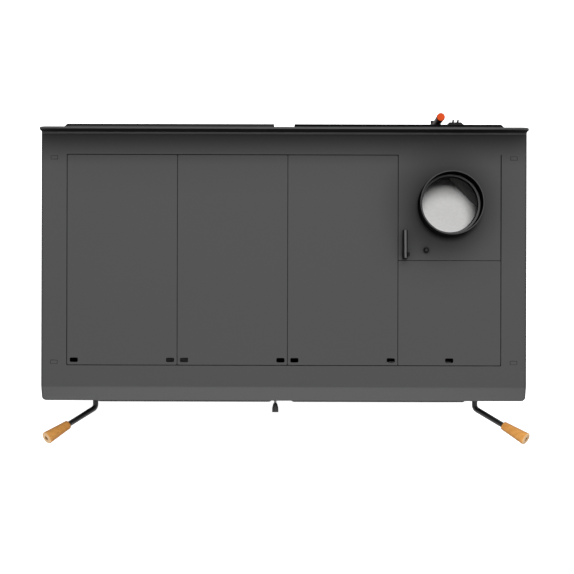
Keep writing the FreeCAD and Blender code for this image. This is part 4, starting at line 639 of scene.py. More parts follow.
def finish_for(slot):
    """The material of a record slot or of a single piece, made once."""
    if slot not in FINISHES:
        c = colours()
        makers = {
            "cook_surface": lambda: cooktop_paint("cook_surface_paint", c.cooktop, *flue_and_edges()),
            "casing_black": lambda: satin_paint("casing_paint", c.casing, 0.50, 0.10),
            # the collar, the pipe seat, the damper bar and the stop bolt get painted highlights on their
            # faces that look up
            "collar": lambda: top_lit_bar("collar_paint", c.collar, c.rim, 0.0),
            "pipe_seat": lambda: top_lit_bar("pipe_seat_paint", c.collar, c.seat, 0.0),
            "damper_bar": lambda: top_lit_bar("damper_bar_paint", c.rods, c.worn),
            "lever_screw": lambda: top_lit_bar("lever_screw_paint", c.rods, c.rods),
            "stop_bolt": lambda: top_lit_bar("stop_bolt_paint", c.rods, c.bolt),
            "soot": lambda: sooted_plate("sooted_plate", c.soot),
            # painted light: the chamber's faces that look to the left are painted five times lighter
            "chamber": lambda: sooted_plate("chamber_plate", c.soot, 5.0),
            "rod_black": lambda: rod_paint("rod_paint", c.rods),
            "bare_steel": lambda: drawn_steel("bare_steel_plate", c.steel, (14, 320, 320), 0.42, 0.65),
            "oven_steel": lambda: drawn_steel("oven_sheet", c.liner, (420, 9, 420), 0.3, 0.12),
            "bright_wire": lambda: bright_wire("plated_wire", c.wire),
            "cast_iron": lambda: sand_cast("grate_iron", c.iron),
            "firebrick": lambda: fired_clay("fired_brick", c.brick),
            "pale_board": lambda: mineral_board("pale_mineral_board", c.board),
            "rope_seal": lambda: braided_rope("rope_seal_braid", c.rope),
            "window_glass": lambda: pane_glass("door_pane", c.pane, 0.55, 0.35),
            "lens_glass": lambda: pane_glass("meter_lens", c.lens, 0.08, 0.03),
            "knob_black": lambda: moulding("knob_moulding", c.knob),
            "red_grip": lambda: dipped_vinyl("lifter_vinyl", c.vinyl),
            "dial_white": lambda: dial_enamel("dial_enamel", c.dial),
            "needle_black": lambda: rod_paint("needle_paint", c.knob),
        }
        FINISHES[slot] = makers[slot]()
    return FINISHES[slot]


# Shapes
def widest(bm):
    """The face with the largest area."""
    return max(bm.faces, key=lambda face: face.calc_area())


def of_kind(items, kind):
    """The items of one kind, out of what an operator made."""
    return [item for item in items if isinstance(item, kind)]


def settle(name, bm, body, slot, replaces=(), soft=None, wall=None, outward=None, segments=2, material=None):
    """Turns a bmesh into a piece that rides on a body, with soft edges and, for a skin, a wall behind it."""
    bmesh.ops.remove_doubles(bm, verts=bm.verts, dist=NEAR)
    bmesh.ops.recalc_face_normals(bm, faces=bm.faces)
    if outward and widest(bm).normal.dot(outward) < 0:
        bmesh.ops.reverse_faces(bm, faces=bm.faces)
    mesh = bpy.data.meshes.new(name)
    bm.to_mesh(mesh)
    bm.free()
    if not mesh.polygons:
        raise RuntimeError("%s has no faces" % name)
    mesh.shade_smooth()
    mesh.materials.append(material or finish_for(slot))
    piece = bpy.data.objects.new(name, mesh)
    bpy.context.scene.collection.objects.link(piece)
    if wall:
        skin = piece.modifiers.new("wall", "SOLIDIFY")
        skin.thickness = wall
        skin.offset = -1.0
        skin.use_even_offset = True
    width = sizes().edge if soft is None else soft
    if width:
        edge = piece.modifiers.new("edges", "BEVEL")
        edge.width = width
        edge.segments = segments
        edge.limit_method = "ANGLE"
        edge.angle_limit = math.radians(38)
        edge.harden_normals = True
        edge.use_clamp_overlap = True
    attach(piece, body)
    if replaces:
        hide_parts(*replaces)


def add_block(bm, low, high):
    """A block between two corners. Returns its vertices."""
    low, high = Vector(low), Vector(high)
    verts = bmesh.ops.create_cube(bm, size=1.0)["verts"]
    bmesh.ops.scale(bm, vec=high - low, verts=verts)
    bmesh.ops.translate(bm, vec=(low + high) / 2, verts=verts)
    return verts


def add_line(bm, points):
    """A line through points. Returns its vertices and edges."""
    verts = [bm.verts.new(point) for point in points]
    return verts, [bm.edges.new(pair) for pair in zip(verts, verts[1:])]


def add_turned(bm, profile, origin, axis, steps):
    """A turned shape: pairs of radius and distance along an axis, spun all the way round."""
    origin, axis = Vector(origin), Vector(axis).normalized()
    side = axis.orthogonal().normalized()
    verts, edges = add_line(bm, [origin + axis * along + side * radius for radius, along in profile])
    bmesh.ops.spin(bm, geom=verts + edges, cent=origin, axis=axis, angle=2 * math.pi, steps=steps,
                   use_merge=True)
    bmesh.ops.remove_doubles(bm, verts=bm.verts, dist=NEAR)


def solid_bar(radius, start, end):
    """The profile of a solid round bar."""
    return [(0, start), (radius, start), (radius, end), (0, end)]


def tube(inner, outer, tall):
    """The profile of a tube."""
    return [(inner, 0), (outer, 0), (outer, tall), (inner, tall), (inner, 0)]


def round_corners(bm, verts, reach, segments):
    """Rounds corners of a line or a sheet. Returns the new vertices."""
    return bmesh.ops.bevel(bm, geom=verts, offset=reach, segments=segments, profile=0.5, affect="VERTICES",
                           material=-1)["verts"]


def draw_out(bm, edges, way):
    """Draws edges out along a straight way. Returns the edges at its end."""
    made = bmesh.ops.extrude_edge_only(bm, edges=edges)["geom"]
    ends = of_kind(made, bmesh.types.BMVert)
    bmesh.ops.translate(bm, vec=way, verts=ends)
    return [edge for edge in of_kind(made, bmesh.types.BMEdge) if set(edge.verts) <= set(ends)]


def draw_round(bm, edges, centre, axis, turn, steps):
    """Draws edges round a bend. Returns the edges at its end."""
    made = bmesh.ops.spin(bm, geom=edges, cent=centre, axis=axis, angle=turn, steps=steps)["geom_last"]
    return of_kind(made, bmesh.types.BMEdge)


def thicken(bm, faces, way):
    """Gives flat faces a thickness along a way."""
    made = bmesh.ops.extrude_face_region(bm, geom=faces, use_keep_orig=True)["geom"]
    bmesh.ops.translate(bm, vec=way, verts=of_kind(made, bmesh.types.BMVert))


def add_sheet(bm, low, high, corner):
    """A flat sheet in plan between two corners, its corners rounded."""
    verts = bmesh.ops.create_grid(bm, x_segments=1, y_segments=1, size=0.5)["verts"]
    bmesh.ops.scale(bm, vec=(high.x - low.x, high.y - low.y, 1), verts=verts)
    bmesh.ops.translate(bm, vec=((low.x + high.x) / 2, (low.y + high.y) / 2, 0), verts=verts)
    round_corners(bm, verts, corner, 5)


def cut_lines(bm, xs, ys):
    """Cuts the sheet along lines of constant X and Y."""
    for normal, values in ((RIGHT, xs), (BACK, ys)):
        for value in values:
            geometry = bm.verts[:] + bm.edges[:] + bm.faces[:]
            bmesh.ops.bisect_plane(bm, geom=geometry, plane_co=normal * value, plane_no=normal, dist=1e-7)


def cell_at(bm, x, y):
    """The face of the sheet whose middle is nearest to a place."""
    return min(bm.faces, key=lambda face: (face.calc_center_bounds().xy - Vector((x, y))).length)


def drop_cells(bm, x0, x1, y0, y1):
    """Removes the faces of the sheet inside a rectangle."""
    inside = []
    for face in bm.faces:
        middle = face.calc_center_bounds()
        if x0 < middle.x < x1 and y0 < middle.y < y1:
            inside.append(face)
    if not inside:
        raise RuntimeError("no cell to open near %.3f, %.3f" % ((x0 + x1) / 2, (y0 + y1) / 2))
    bmesh.ops.delete(bm, geom=inside, context="FACES")


def ring_outline(radius, segments):
    """A maker of round outlines."""
    def outline(bm):
        verts = bmesh.ops.create_circle(bm, cap_ends=True, segments=segments, radius=radius)["verts"]
        return verts[0].link_faces[0]
    return outline


def block_outline(size_x, size_y, corner=0.0):
    """A maker of oblong outlines, their corners sharp or rounded."""
    def outline(bm):
        verts = bmesh.ops.create_grid(bm, x_segments=1, y_segments=1, size=0.5)["verts"]
        bmesh.ops.scale(bm, vec=(size_x, size_y, 1), verts=verts)
        if corner:
            verts = round_corners(bm, verts, corner, 7)
        return verts[0].link_faces[0]
    return outline


def open_face(bm, face, *openings):
    """Cuts openings into one face of the sheet. Each is a place in plan and a maker of its outline."""
    height = face.calc_center_bounds().z
    left_over = face.calc_area()
    edges = list(face.edges)
    for x, y, outline in openings:
        cap = outline(bm)
        bmesh.ops.translate(bm, vec=(x, y, height), verts=cap.verts)
        left_over -= cap.calc_area()
        edges += cap.edges
        bmesh.ops.delete(bm, geom=[cap], context="FACES_ONLY")
    bmesh.ops.delete(bm, geom=[face], context="FACES_ONLY")
    filled = bmesh.ops.triangle_fill(bm, use_beauty=True, use_dissolve=False, edges=edges)["geom"]
    area = sum(item.calc_area() for item in of_kind(filled, bmesh.types.BMFace))
    if abs(area - left_over) > NEAR:
        raise RuntimeError("an opening did not close near %.3f, %.3f" % openings[0][:2])


def place_all(bm, matrix):
    bmesh.ops.transform(bm, matrix=matrix, verts=bm.verts)


def turned_piece(name, body, slot, replaces, profile, origin, axis, steps, **more):
    """A piece that is one turned shape."""
    bm = bmesh.new()
    add_turned(bm, profile, origin, axis, steps)
    settle(name, bm, body, slot, replaces, **more)


def block_piece(name, node, body, slot, soft):
    """A plain block in the place of a CAD node."""
    bm = bmesh.new()
    add_block(bm, *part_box(node))
    settle(name, bm, body, slot, (node,), soft)


def pressed_front(name, node, body, openings=(), soft=0.0008, segments=2):
    """A pressed front in the place of a CAD node: a face with rounded edges and four sides, open behind."""
    s = sizes()
    low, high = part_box(node)
    bm = bmesh.new()
    add_block(bm, (low.x, low.z, 0), (high.x, high.z, high.y - low.y))
    behind = [face for face in bm.faces if face.normal.z > 0.5]
    bmesh.ops.delete(bm, geom=behind, context="FACES_ONLY")
    wires = [edge for edge in bm.edges if not edge.link_faces]
    bmesh.ops.delete(bm, geom=wires, context="EDGES")
    rounded = [edge for edge in bm.edges if not edge.is_boundary]
    bmesh.ops.bevel(bm, geom=rounded, offset=s.panel_round, segments=7, profile=0.5, affect="EDGES",
                    material=-1, offset_type="OFFSET", clamp_overlap=True)
    if openings:
        open_face(bm, widest(bm), *openings)
    place_all(bm, Matrix.Translation((0, low.y, 0)) @ SWAP_Y_AND_Z)
    settle(name, bm, body, "casing_black", (node,), wall=s.panel_sheet, outward=-BACK, soft=soft,
           segments=segments)


def soft_copy(node, soft, segments=2):
    """A piece with the form of a CAD node, its facets merged and its edges softened."""
    source = frame["nodes"][node]
    bm = bmesh.new()
    bm.from_mesh(source.data)
    bmesh.ops.remove_doubles(bm, verts=bm.verts, dist=1e-5)
    bmesh.ops.dissolve_limit(bm, angle_limit=math.radians(0.5), verts=bm.verts, edges=bm.edges)
    slots = {row["node"]: row["material_slot"] for row in frame["record"]["subparts"]}
    settle(node + "_soft", bm, source["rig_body"], slots[node], (node,), soft, segments=segments)


# Pieces
class PieceOperator:
    """What every operator shares: it builds its pieces, or raises an error"""
    bl_options = {"REGISTER", "UNDO"}

    def execute(self, context):
        self.build()
        return {"FINISHED"}


class STOVE_OT_top_sheet(PieceOperator, bpy.types.Operator):
    """Builds the bent top with its lip, upstand, plate opening and flue tongue"""
    bl_idname = "stove.top_sheet"
    bl_label = "Top sheet"

    def build(self):
        s = sizes()
        low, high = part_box("top_frame")
        plate_low, plate_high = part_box("cook_plate_1")
        small_low, small_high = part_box("small_cook_plate")
        bm = bmesh.new()
        self.bent_sheet(bm, low, high)

        left, right = plate_low.x - s.seam, small_high.x + s.seam
        front, rear = plate_low.y - s.seam, plate_high.y + s.seam
        tongue_left, tongue_front = small_low.x, small_high.y + s.tongue_seam
        slit = right - s.seam
        cut_lines(bm, (left, tongue_left, slit, right), (front, tongue_front, rear))
        drop_cells(bm, left, tongue_left, front, rear)
        drop_cells(bm, tongue_left, right, front, tongue_front)
        drop_cells(bm, slit, right, tongue_front, rear)

        flue, spindle = middle_of("flue_collar"), spot("damper_turn")
        tongue = cell_at(bm, (tongue_left + slit) / 2, (tongue_front + rear) / 2)
        open_face(bm, tongue, (flue.x, flue.y, ring_outline(s.flue_hole, 128)),
                  (spindle.x, spindle.y, ring_outline(s.spindle_hole, 32)))
        tab = block_outline(s.tab_length, s.tab_width)
        front_tabs = low.y + s.lip_run + s.tab_from_bend
        rear_tabs = high.y - s.top_sheet - s.rear_bend - s.tab_from_bend
        for x in (low.x + s.tab_from_side, high.x - s.tab_from_side):
            for y in (front_tabs, rear_tabs):
                open_face(bm, cell_at(bm, x, y / 2), (x, y, tab))
        settle("top_sheet", bm, "stove_body", "cook_surface", ("top_frame",), wall=s.top_sheet, outward=UP)

    def bent_sheet(self, bm, low, high):
        """The sheet before its openings: lip, flat and upstand, with rounded corners."""
        s = sizes()
        cook = cook_height()
        upstand = high.y - s.top_sheet
        line = [(low.x, low.y, cook - s.lip_drop), (low.x, low.y + s.lip_run, cook), (low.x, upstand, cook),
                (low.x, upstand, high.z)]
        front_bend, rear_bend = add_line(bm, line)[0][1:3]
        round_corners(bm, [front_bend], s.front_bend, 7)
        round_corners(bm, [rear_bend], s.rear_bend, 7)
        draw_out(bm, bm.edges[:], (high.x - low.x, 0, 0))
        lip_ends = [vert for vert in bm.verts if abs(vert.co.y - low.y) < NEAR]
        upstand_ends = [vert for vert in bm.verts if abs(vert.co.z - high.z) < NEAR]
        round_corners(bm, lip_ends, s.lip_corner, 6)
        round_corners(bm, upstand_ends, s.upstand_corner, 6)


class STOVE_OT_cook_plates(PieceOperator, bpy.types.Operator):
    """Builds the loose cook plates with their lift slots"""
    bl_idname = "stove.cook_plates"
    bl_label = "Cook plates"

    def build(self):
        s = sizes()
        half = s.seam / 2
        slot = block_outline(s.slot_length, s.slot_width, s.slot_corner)
        for node in ("cook_plate_1", "cook_plate_2", "cook_plate_3", "small_cook_plate"):
            low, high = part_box(node)
            slot_y = low.y - half + s.slot_from_front
            if node == "small_cook_plate":
                slots = [(low.x + high.x) / 2]
            else:
                slots = [low.x - half + s.slot_from_side, high.x + half - s.slot_from_side]
            bm = bmesh.new()
            add_sheet(bm, low, high, s.slot_corner)
            open_face(bm, bm.faces[:][0], *[(x, slot_y, slot) for x in slots])
            bmesh.ops.translate(bm, vec=(0, 0, high.z), verts=bm.verts)
            settle(node + "_sheet", bm, node, "cook_surface", (node,), wall=s.top_sheet, outward=UP,
                   soft=0.0005)


class STOVE_OT_flue(PieceOperator, bpy.types.Operator):
    """Builds the flue collar and the ledge in it that a pipe stands on"""
    bl_idname = "stove.flue"
    bl_label = "Flue collar"

    def build(self):
        s = sizes()
        low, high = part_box("flue_collar")
        middle = middle_of("flue_collar")
        foot = (middle.x, middle.y, low.z)
        outer = (high.x - low.x) / 2
        inner = outer - s.collar_wall
        turned_piece("flue_ring", "stove_body", "casing_black", ("flue_collar",),
                     tube(inner, outer, high.z - low.z), foot, UP, 128, soft=0.0009, segments=3,
                     material=finish_for("collar"))
        gap, set_back = 0.0002, 0.0008
        turned_piece("pipe_seat_ring", "stove_body", "casing_black", (),
                     tube(s.flue_hole + set_back, inner - gap, s.pipe_seat), foot, UP, 128,
                     material=finish_for("pipe_seat"))


class STOVE_OT_damper(PieceOperator, bpy.types.Operator):
    """Builds the damper lever with its hub and side screw, and the stop bolt"""
    bl_idname = "stove.damper"
    bl_label = "Damper lever and stop"

    def build(self):
        spindle = spot("damper_turn")
        self.lever(spindle)
        self.side_screw(spindle)
        self.stop_bolt()

    def lever(self, spindle):
        s = sizes()
        bm = bmesh.new()
        verts = self.bar(bm, spindle, s.lever_width, s.lever_rise, s.lever_top)
        ahead = [vert for vert in verts if vert.co.y < spindle.y]
        bmesh.ops.translate(bm, vec=(0, 0, s.lever_crest), verts=ahead)
        verts = self.bar(bm, spindle, s.flank_width, s.flank_rise, s.flank_top)
        shoulder = [vert for vert in verts if vert.co.z > spindle.z + s.flank_top - NEAR]
        bmesh.ops.scale(bm, vec=(s.lever_width / s.flank_width, 1, 1), space=Matrix.Translation(-spindle),
                        verts=shoulder)
        add_turned(bm, solid_bar(s.lever_hub, s.hub_gap, s.lever_rise + s.hub_gap), spindle, UP, 48)
        settle("damper_lever_bar", bm, "damper", "rod_black", ("damper_lever",), soft=0.0012, segments=3,
               material=finish_for("damper_bar"))

    def bar(self, bm, spindle, wide, bottom, top):
        """A bar from ahead of the spindle to behind it. Returns its vertices."""
        s = sizes()
        return add_block(bm, spindle + Vector((-wide / 2, -s.lever_ahead, bottom)),
                         spindle + Vector((wide / 2, s.lever_behind, top)))

    def side_screw(self, spindle):
        """A screw with a socket in its head, in the lever's right side."""
        neck, head, socket = 0.0030, 0.0040, 0.0019
        neck_end, socket_floor, head_end = 0.002, 0.0050, 0.0076
        sunk, rise = 0.0001, 0.015
        profile = [(0, 0), (neck, 0), (neck, neck_end), (head, neck_end), (head, head_end),
                   (socket, head_end), (socket, socket_floor), (0, socket_floor)]
        place = spindle + Vector((sizes().lever_width / 2 - sunk, 0, rise))
        turned_piece("lever_side_screw", "damper", "rod_black", (), profile, place, RIGHT, 32,
                     material=finish_for("lever_screw"))

    def stop_bolt(self):
        """A bolt with its nut below the sheet and a sloped end above it."""
        nut, shank, head, tip = 0.0075, 0.004, 0.0063, 0.0028
        slope = 0.0042
        sheet = sizes().top_sheet
        low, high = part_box("damper_stop_bolt")
        middle = middle_of("damper_stop_bolt")
        cook = cook_height()
        foot, tall = low.z - cook, high.z - cook
        profile = [(0, foot), (nut, foot), (nut, -sheet), (shank, -sheet), (shank, 0), (head, 0),
                   (head, tall - slope), (tip, tall), (0, tall)]
        turned_piece("stop_bolt", "stove_body", "rod_black", ("damper_stop_bolt",), profile,
                     (middle.x, middle.y, cook), UP, 48, soft=0.0006, segments=3,
                     material=finish_for("stop_bolt"))


class STOVE_OT_handles(PieceOperator, bpy.types.Operator):
    """Builds the bent handle rods with their roses and screws, and the turned wooden grips"""
    bl_idname = "stove.handles"
    bl_label = "Door handles"

    def build(self):
        s = sizes()
        for name, side, roll in (("firebox", -1, s.firebox_roll), ("oven", 1, s.oven_roll)):
            pivot = spot(name + "_latch_turn")
            out = math.sin(s.handle_bend)
            arm = Vector((side * out * math.cos(roll), -math.cos(s.handle_bend), out * math.sin(roll)))
            corner = pivot - BACK * s.rod_reach
            self.rod(name, pivot, corner, arm)
            self.grip(name, corner + arm * (s.arm - s.grip), arm)

    def rod(self, name, pivot, corner, arm):
        s = sizes()
        start = Vector((pivot.x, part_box(name + "_handle_rod")[1].y, pivot.z))
        end = corner + arm * (s.arm - s.rod_short)
        bm = bmesh.new()
        self.bent_bar(bm, start, corner, end, arm)
        flat, rose, rose_edge, rose_deep, rose_ahead = 0.009, 0.011, 0.0012, 0.003, 0.0033
        add_turned(bm, [(0, 0), (flat, 0), (rose, rose_edge), (rose, rose_deep), (0, rose_deep)],
                   pivot - BACK * rose_ahead, BACK, 48)
        ring_deep, ring_behind = 0.002, 0.0053
        add_turned(bm, solid_bar(flat, 0, ring_deep), pivot + BACK * ring_behind, BACK, 48)
        self.end_screw(bm, end, arm)
        settle(name + "_bent_rod", bm, name + "_handle", "rod_black", (name + "_handle_rod",), soft=0.0005)

    def end_screw(self, bm, end, arm):
        """The screw that holds a grip, with a socket in its head."""
        shank, head, head_edge, socket = 0.0025, 0.0045, 0.0036, 0.0017
        foot, shank_end, side_end, head_end, socket_floor = -0.002, 0.004, 0.0062, 0.007, 0.0055
        add_turned(bm, [(0, foot), (shank, foot), (shank, shank_end), (head, shank_end), (head, side_end),
                        (head_edge, head_end), (socket, head_end), (socket, socket_floor), (0, socket_floor)],
                   end, arm, 32)

    def bent_bar(self, bm, start, corner, end, arm):
        """A round bar along two straight runs with a bend between them."""
        s = sizes()
        ahead = -BACK
        tangent = s.rod_bend * math.tan(s.handle_bend / 2)
        across = (arm - ahead * arm.dot(ahead)).normalized()
        turned = ahead.to_track_quat("Z", "X").to_matrix().to_4x4()
        bmesh.ops.create_circle(bm, cap_ends=True, segments=40, radius=s.rod,
                                matrix=Matrix.Translation(start) @ turned)
        bend_start = corner - ahead * tangent
        loop = draw_out(bm, bm.edges[:], bend_start - start)
        loop = draw_round(bm, loop, bend_start + across * s.rod_bend, ahead.cross(arm).normalized(),
                          s.handle_bend, 14)
        loop = draw_out(bm, loop, end - corner - arm * tangent)
        bmesh.ops.contextual_create(bm, geom=loop)

    def grip(self, name, root, arm):
        """A grip that widens to its free end, bored for the rod and for the screw."""
        s = sizes()
        c = colours()
        long, thin, thick, hole = s.grip, s.grip_small, s.grip_large, s.grip_hole
        bore, screw = s.rod + 0.0001, 0.0026
        bore_shown, hole_floor, screw_floor = 0.004, long - 0.012, long - 0.0155
        profile = [(bore, bore_shown), (bore, 0),
                   (thin - 0.001, 0), (thin - 0.0003, 0.0004), (thin, 0.0012),
                   (thin + 0.0005, long * 0.10), (thin + 0.0015, long * 0.30), (thin + 0.0028, long * 0.55),
                   (thick - 0.0009, long * 0.82), (thick, long - 0.0042), (thick - 0.0002, long - 0.0024),
                   (thick - 0.0009, long - 0.0010), (thick - 0.0020, long - 0.0002), (thick - 0.0030, long),
                   (hole + 0.0012, long), (hole + 0.0003, long - 0.0004), (hole, long - 0.0012),
                   (hole, hole_floor), (screw, hole_floor), (screw, screw_floor)]
        wood = turned_beech(name + "_grip_beech", c.wood_light, c.wood_dark, c.wood_end_lit, arm, root, long)
        turned_piece(name + "_turned_grip", name + "_handle", "beech", (name + "_handle_grip",), profile,
                     root, arm, 72, soft=0.0003, material=wood)


def pull_knob(shank):
    """The profile of a turned pull with a waist and a domed end, on a shank behind its base."""
    start = [(0, -shank), (0.004, -shank), (0.004, 0)] if shank else [(0, 0)]
    return start + [(0.0055, 0), (0.0053, 0.0014), (0.0058, 0.0036), (0.0080, 0.0062), (0.0108, 0.0080),
                    (0.0119, 0.0092), (0.0117, 0.0105), (0.0100, 0.0115), (0.0050, 0.0120), (0, 0.0120)]


class STOVE_OT_knobs(PieceOperator, bpy.types.Operator):
    """Builds the air control knob and the two knobs of the clean-out cover"""
    bl_idname = "stove.knobs"
    bl_label = "Knobs"

    def build(self):
        s = sizes()
        low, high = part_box("air_control_knob")
        middle = middle_of("air_control_knob")
        long = high.y - low.y
        profile = [(0, 0), (0.0026, 0), (0.0029, 0.0006), (0.0037, 0.0016), (0.0046, 0.0034),
                   (0.0053, 0.0050), (0.0064, 0.0088), (0.0072, 0.0125), (0.0076, 0.0160), (0.0077, 0.0195),
                   (0.0077, long), (0, long)]
        turned_piece("air_knob_cone", "air_control", "knob_black", ("air_control_knob",), profile,
                     (middle.x, high.y, middle.z), -BACK, 48, soft=0.0013, segments=4)
        low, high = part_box("cleanout_knobs")
        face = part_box("cleanout_cover")[0].y
        bm = bmesh.new()
        for x in (low.x + s.cover_knob, high.x - s.cover_knob):
            add_turned(bm, pull_knob(high.y - face), (x, face, (low.z + high.z) / 2), -BACK, 56)
        settle("cover_knobs", bm, "stove_body", "knob_black", ("cleanout_knobs",), soft=0.0011, segments=3)


class STOVE_OT_doors(PieceOperator, bpy.types.Operator):
    """Builds both doors: plate, pressed panel, pane and rope seal"""
    bl_idname = "stove.doors"
    bl_label = "Doors"

    def build(self):
        for name in ("firebox", "oven"):
            door = name + "_door"
            self.panel(name + "_pressed_panel", door)
            block_piece(name + "_pane", door + "_glass", door, "window_glass", 0.0004)
            self.seal(name + "_rope_seal", door)
            soft_copy(door + "_plate", 0.0009)

    def panel(self, name, door):
        s = sizes()
        pane_low, pane_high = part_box(door + "_glass")
        middle = middle_of(door + "_glass")
        tall = pane_high.z - pane_low.z - 2 * s.pane_lap
        openings = [(middle.x, middle.z, block_outline(s.window_width, tall, s.window_corner))]
        if door == "oven_door":
            hub = spot("needle_turn")
            openings.append((hub.x, hub.z, ring_outline(s.meter_hole, 72)))
        pressed_front(name, door + "_panel", door, openings, soft=0.0011, segments=3)

    def seal(self, name, door):
        """A rope drawn once round the door, a little thinner than its groove."""
        low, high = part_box(door + "_gasket")
        rope = sizes().rope
        corner = sizes().rope_turn - rope / 2
        pressed = 0.98
        start = Vector((low.x + rope / 2, (low.y + high.y) / 2, low.z + rope / 2 + corner))
        wide = high.x - low.x - rope - 2 * corner
        tall = high.z - low.z - rope - 2 * corner
        bm = bmesh.new()
        ring = bmesh.ops.create_circle(bm, segments=16, radius=0.5)["verts"]
        bmesh.ops.scale(bm, vec=(rope * pressed, (high.y - low.y) * pressed, 1), verts=ring)
        bmesh.ops.translate(bm, vec=start, verts=ring)
        loop = bm.edges[:]
        for way, reach in ((UP, tall), (RIGHT, wide), (-UP, tall), (-RIGHT, wide)):
            loop = draw_out(bm, loop, way * reach)
            centre = start + way * reach + BACK.cross(way) * corner
            loop = draw_round(bm, loop, centre, BACK, math.pi / 2, 8)
            start = centre + way * corner
        settle(name, bm, door, "rope_seal", (door + "_gasket",), soft=0)


class STOVE_OT_lower_fronts(PieceOperator, bpy.types.Operator):
    """Builds the ash drawer's front with its air register, and the clean-out cover"""
    bl_idname = "stove.lower_fronts"
    bl_label = "Ash drawer and clean-out"

    def build(self):
        s = sizes()
        hub = spot("air_register_turn")
        step = s.air_circle / math.sqrt(2)
        hole = ring_outline(s.air_hole, 40)
        holes = [(x, y, hole) for x in (-step, step) for y in (-step, step)]
        in_front = [(hub.x + x, hub.z + y, hole) for x, y, hole in holes]
        pressed_front("drawer_pressed_front", "ash_drawer_front", "ash_drawer", in_front)
        self.disc(hub, holes)
        pressed_front("cover_pressed_front", "cleanout_cover", "stove_body")
        soft_copy("ash_tray", 0.0005)

    def disc(self, hub, holes):
        """A disc with air holes and a knob, held by a headed pin through the drawer's front."""
        s = sizes()
        pin, pin_head, pin_neck, pin_end, sunk = 0.004, 0.007, 0.0035, 0.0064, 0.0001
        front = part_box("ash_drawer_front")[0].y
        face = front - s.register_gap
        bm = bmesh.new()
        open_face(bm, ring_outline(s.register, 96)(bm), *holes)
        thicken(bm, bm.faces[:], (0, 0, s.register_sheet))
        place_all(bm, Matrix.Translation((hub.x, face, hub.z)) @ TO_FRONT)
        add_turned(bm, pull_knob(0), (hub.x, face - s.register_sheet, hub.z), -BACK, 56)
        add_turned(bm, [(0, 0), (pin, 0), (pin, pin_neck), (pin_head, pin_neck), (pin_head, pin_end),
                        (0, pin_end)], (hub.x, front - sunk, hub.z), BACK, 32)
        settle("register_disc", bm, "air_register", "rod_black", ("air_register",), soft=0.0005)


class STOVE_OT_thermometer(PieceOperator, bpy.types.Operator):
    """Builds the oven thermometer's case, the marks on its dial and its lens"""
    bl_idname = "stove.thermometer"
    bl_label = "Oven thermometer"

    def build(self):
        hub = spot("needle_turn")
        bore = sizes().meter_hole - 0.0030
        self.case(hub, bore)
        self.marks(hub)
        rim, shoulder, dome = 0.0012, 0.0014, 0.0015
        profile = [(0, 0), (bore, 0), (bore, rim), (bore * 0.6, shoulder), (0, dome)]
        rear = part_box("thermometer_lens")[1].y
        turned_piece("meter_lens_pane", "oven_door", "lens_glass", ("thermometer_lens",), profile,
                     (hub.x, rear, hub.z), -BACK, 64, soft=0)

    def case(self, hub, bore):
        """A cup with a flange before the panel and a stem that reaches into the oven."""
        low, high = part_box("thermometer_case")
        flange = (high.x - low.x) / 2
        proud = hub.y - low.y
        cup = sizes().meter_hole - 0.0005
        stem, stem_end, cup_end, cup_floor = 0.004, 0.056, 0.0095, 0.0075
        profile = [(0, stem_end), (stem, stem_end), (stem, cup_end), (cup, cup_end), (cup, 0), (flange, 0),
                   (flange - 0.0002, -0.0006), (flange - 0.0016, -proud), (bore + 0.0008, -proud),
                   (bore, -proud + 0.0008), (bore, cup_floor), (0, cup_floor)]
        turned_piece("meter_case", "oven_door", "oven_steel", ("thermometer_case",), profile, hub, BACK, 96,
                     soft=0.0003)

    def marks(self, hub):
        """Short marks round the dial, each third one longer and wider."""
        count, first, step = 28, -135, 10
        outer, thick = 0.0235, 0.0002
        bm = bmesh.new()
        for index in range(count):
            long, wide = (0.0042, 0.0009) if index % 3 == 0 else (0.0024, 0.0005)
            verts = add_block(bm, (-wide / 2, -thick, outer - long), (wide / 2, 0, outer))
            turn = Matrix.Rotation(math.radians(first + index * step), 3, "Y")
            bmesh.ops.rotate(bm, cent=(0, 0, 0), matrix=turn, verts=verts)
        bmesh.ops.translate(bm, vec=(hub.x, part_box("thermometer_dial")[0].y, hub.z), verts=bm.verts)
        settle("dial_marks", bm, "oven_door", "needle_black", soft=0)


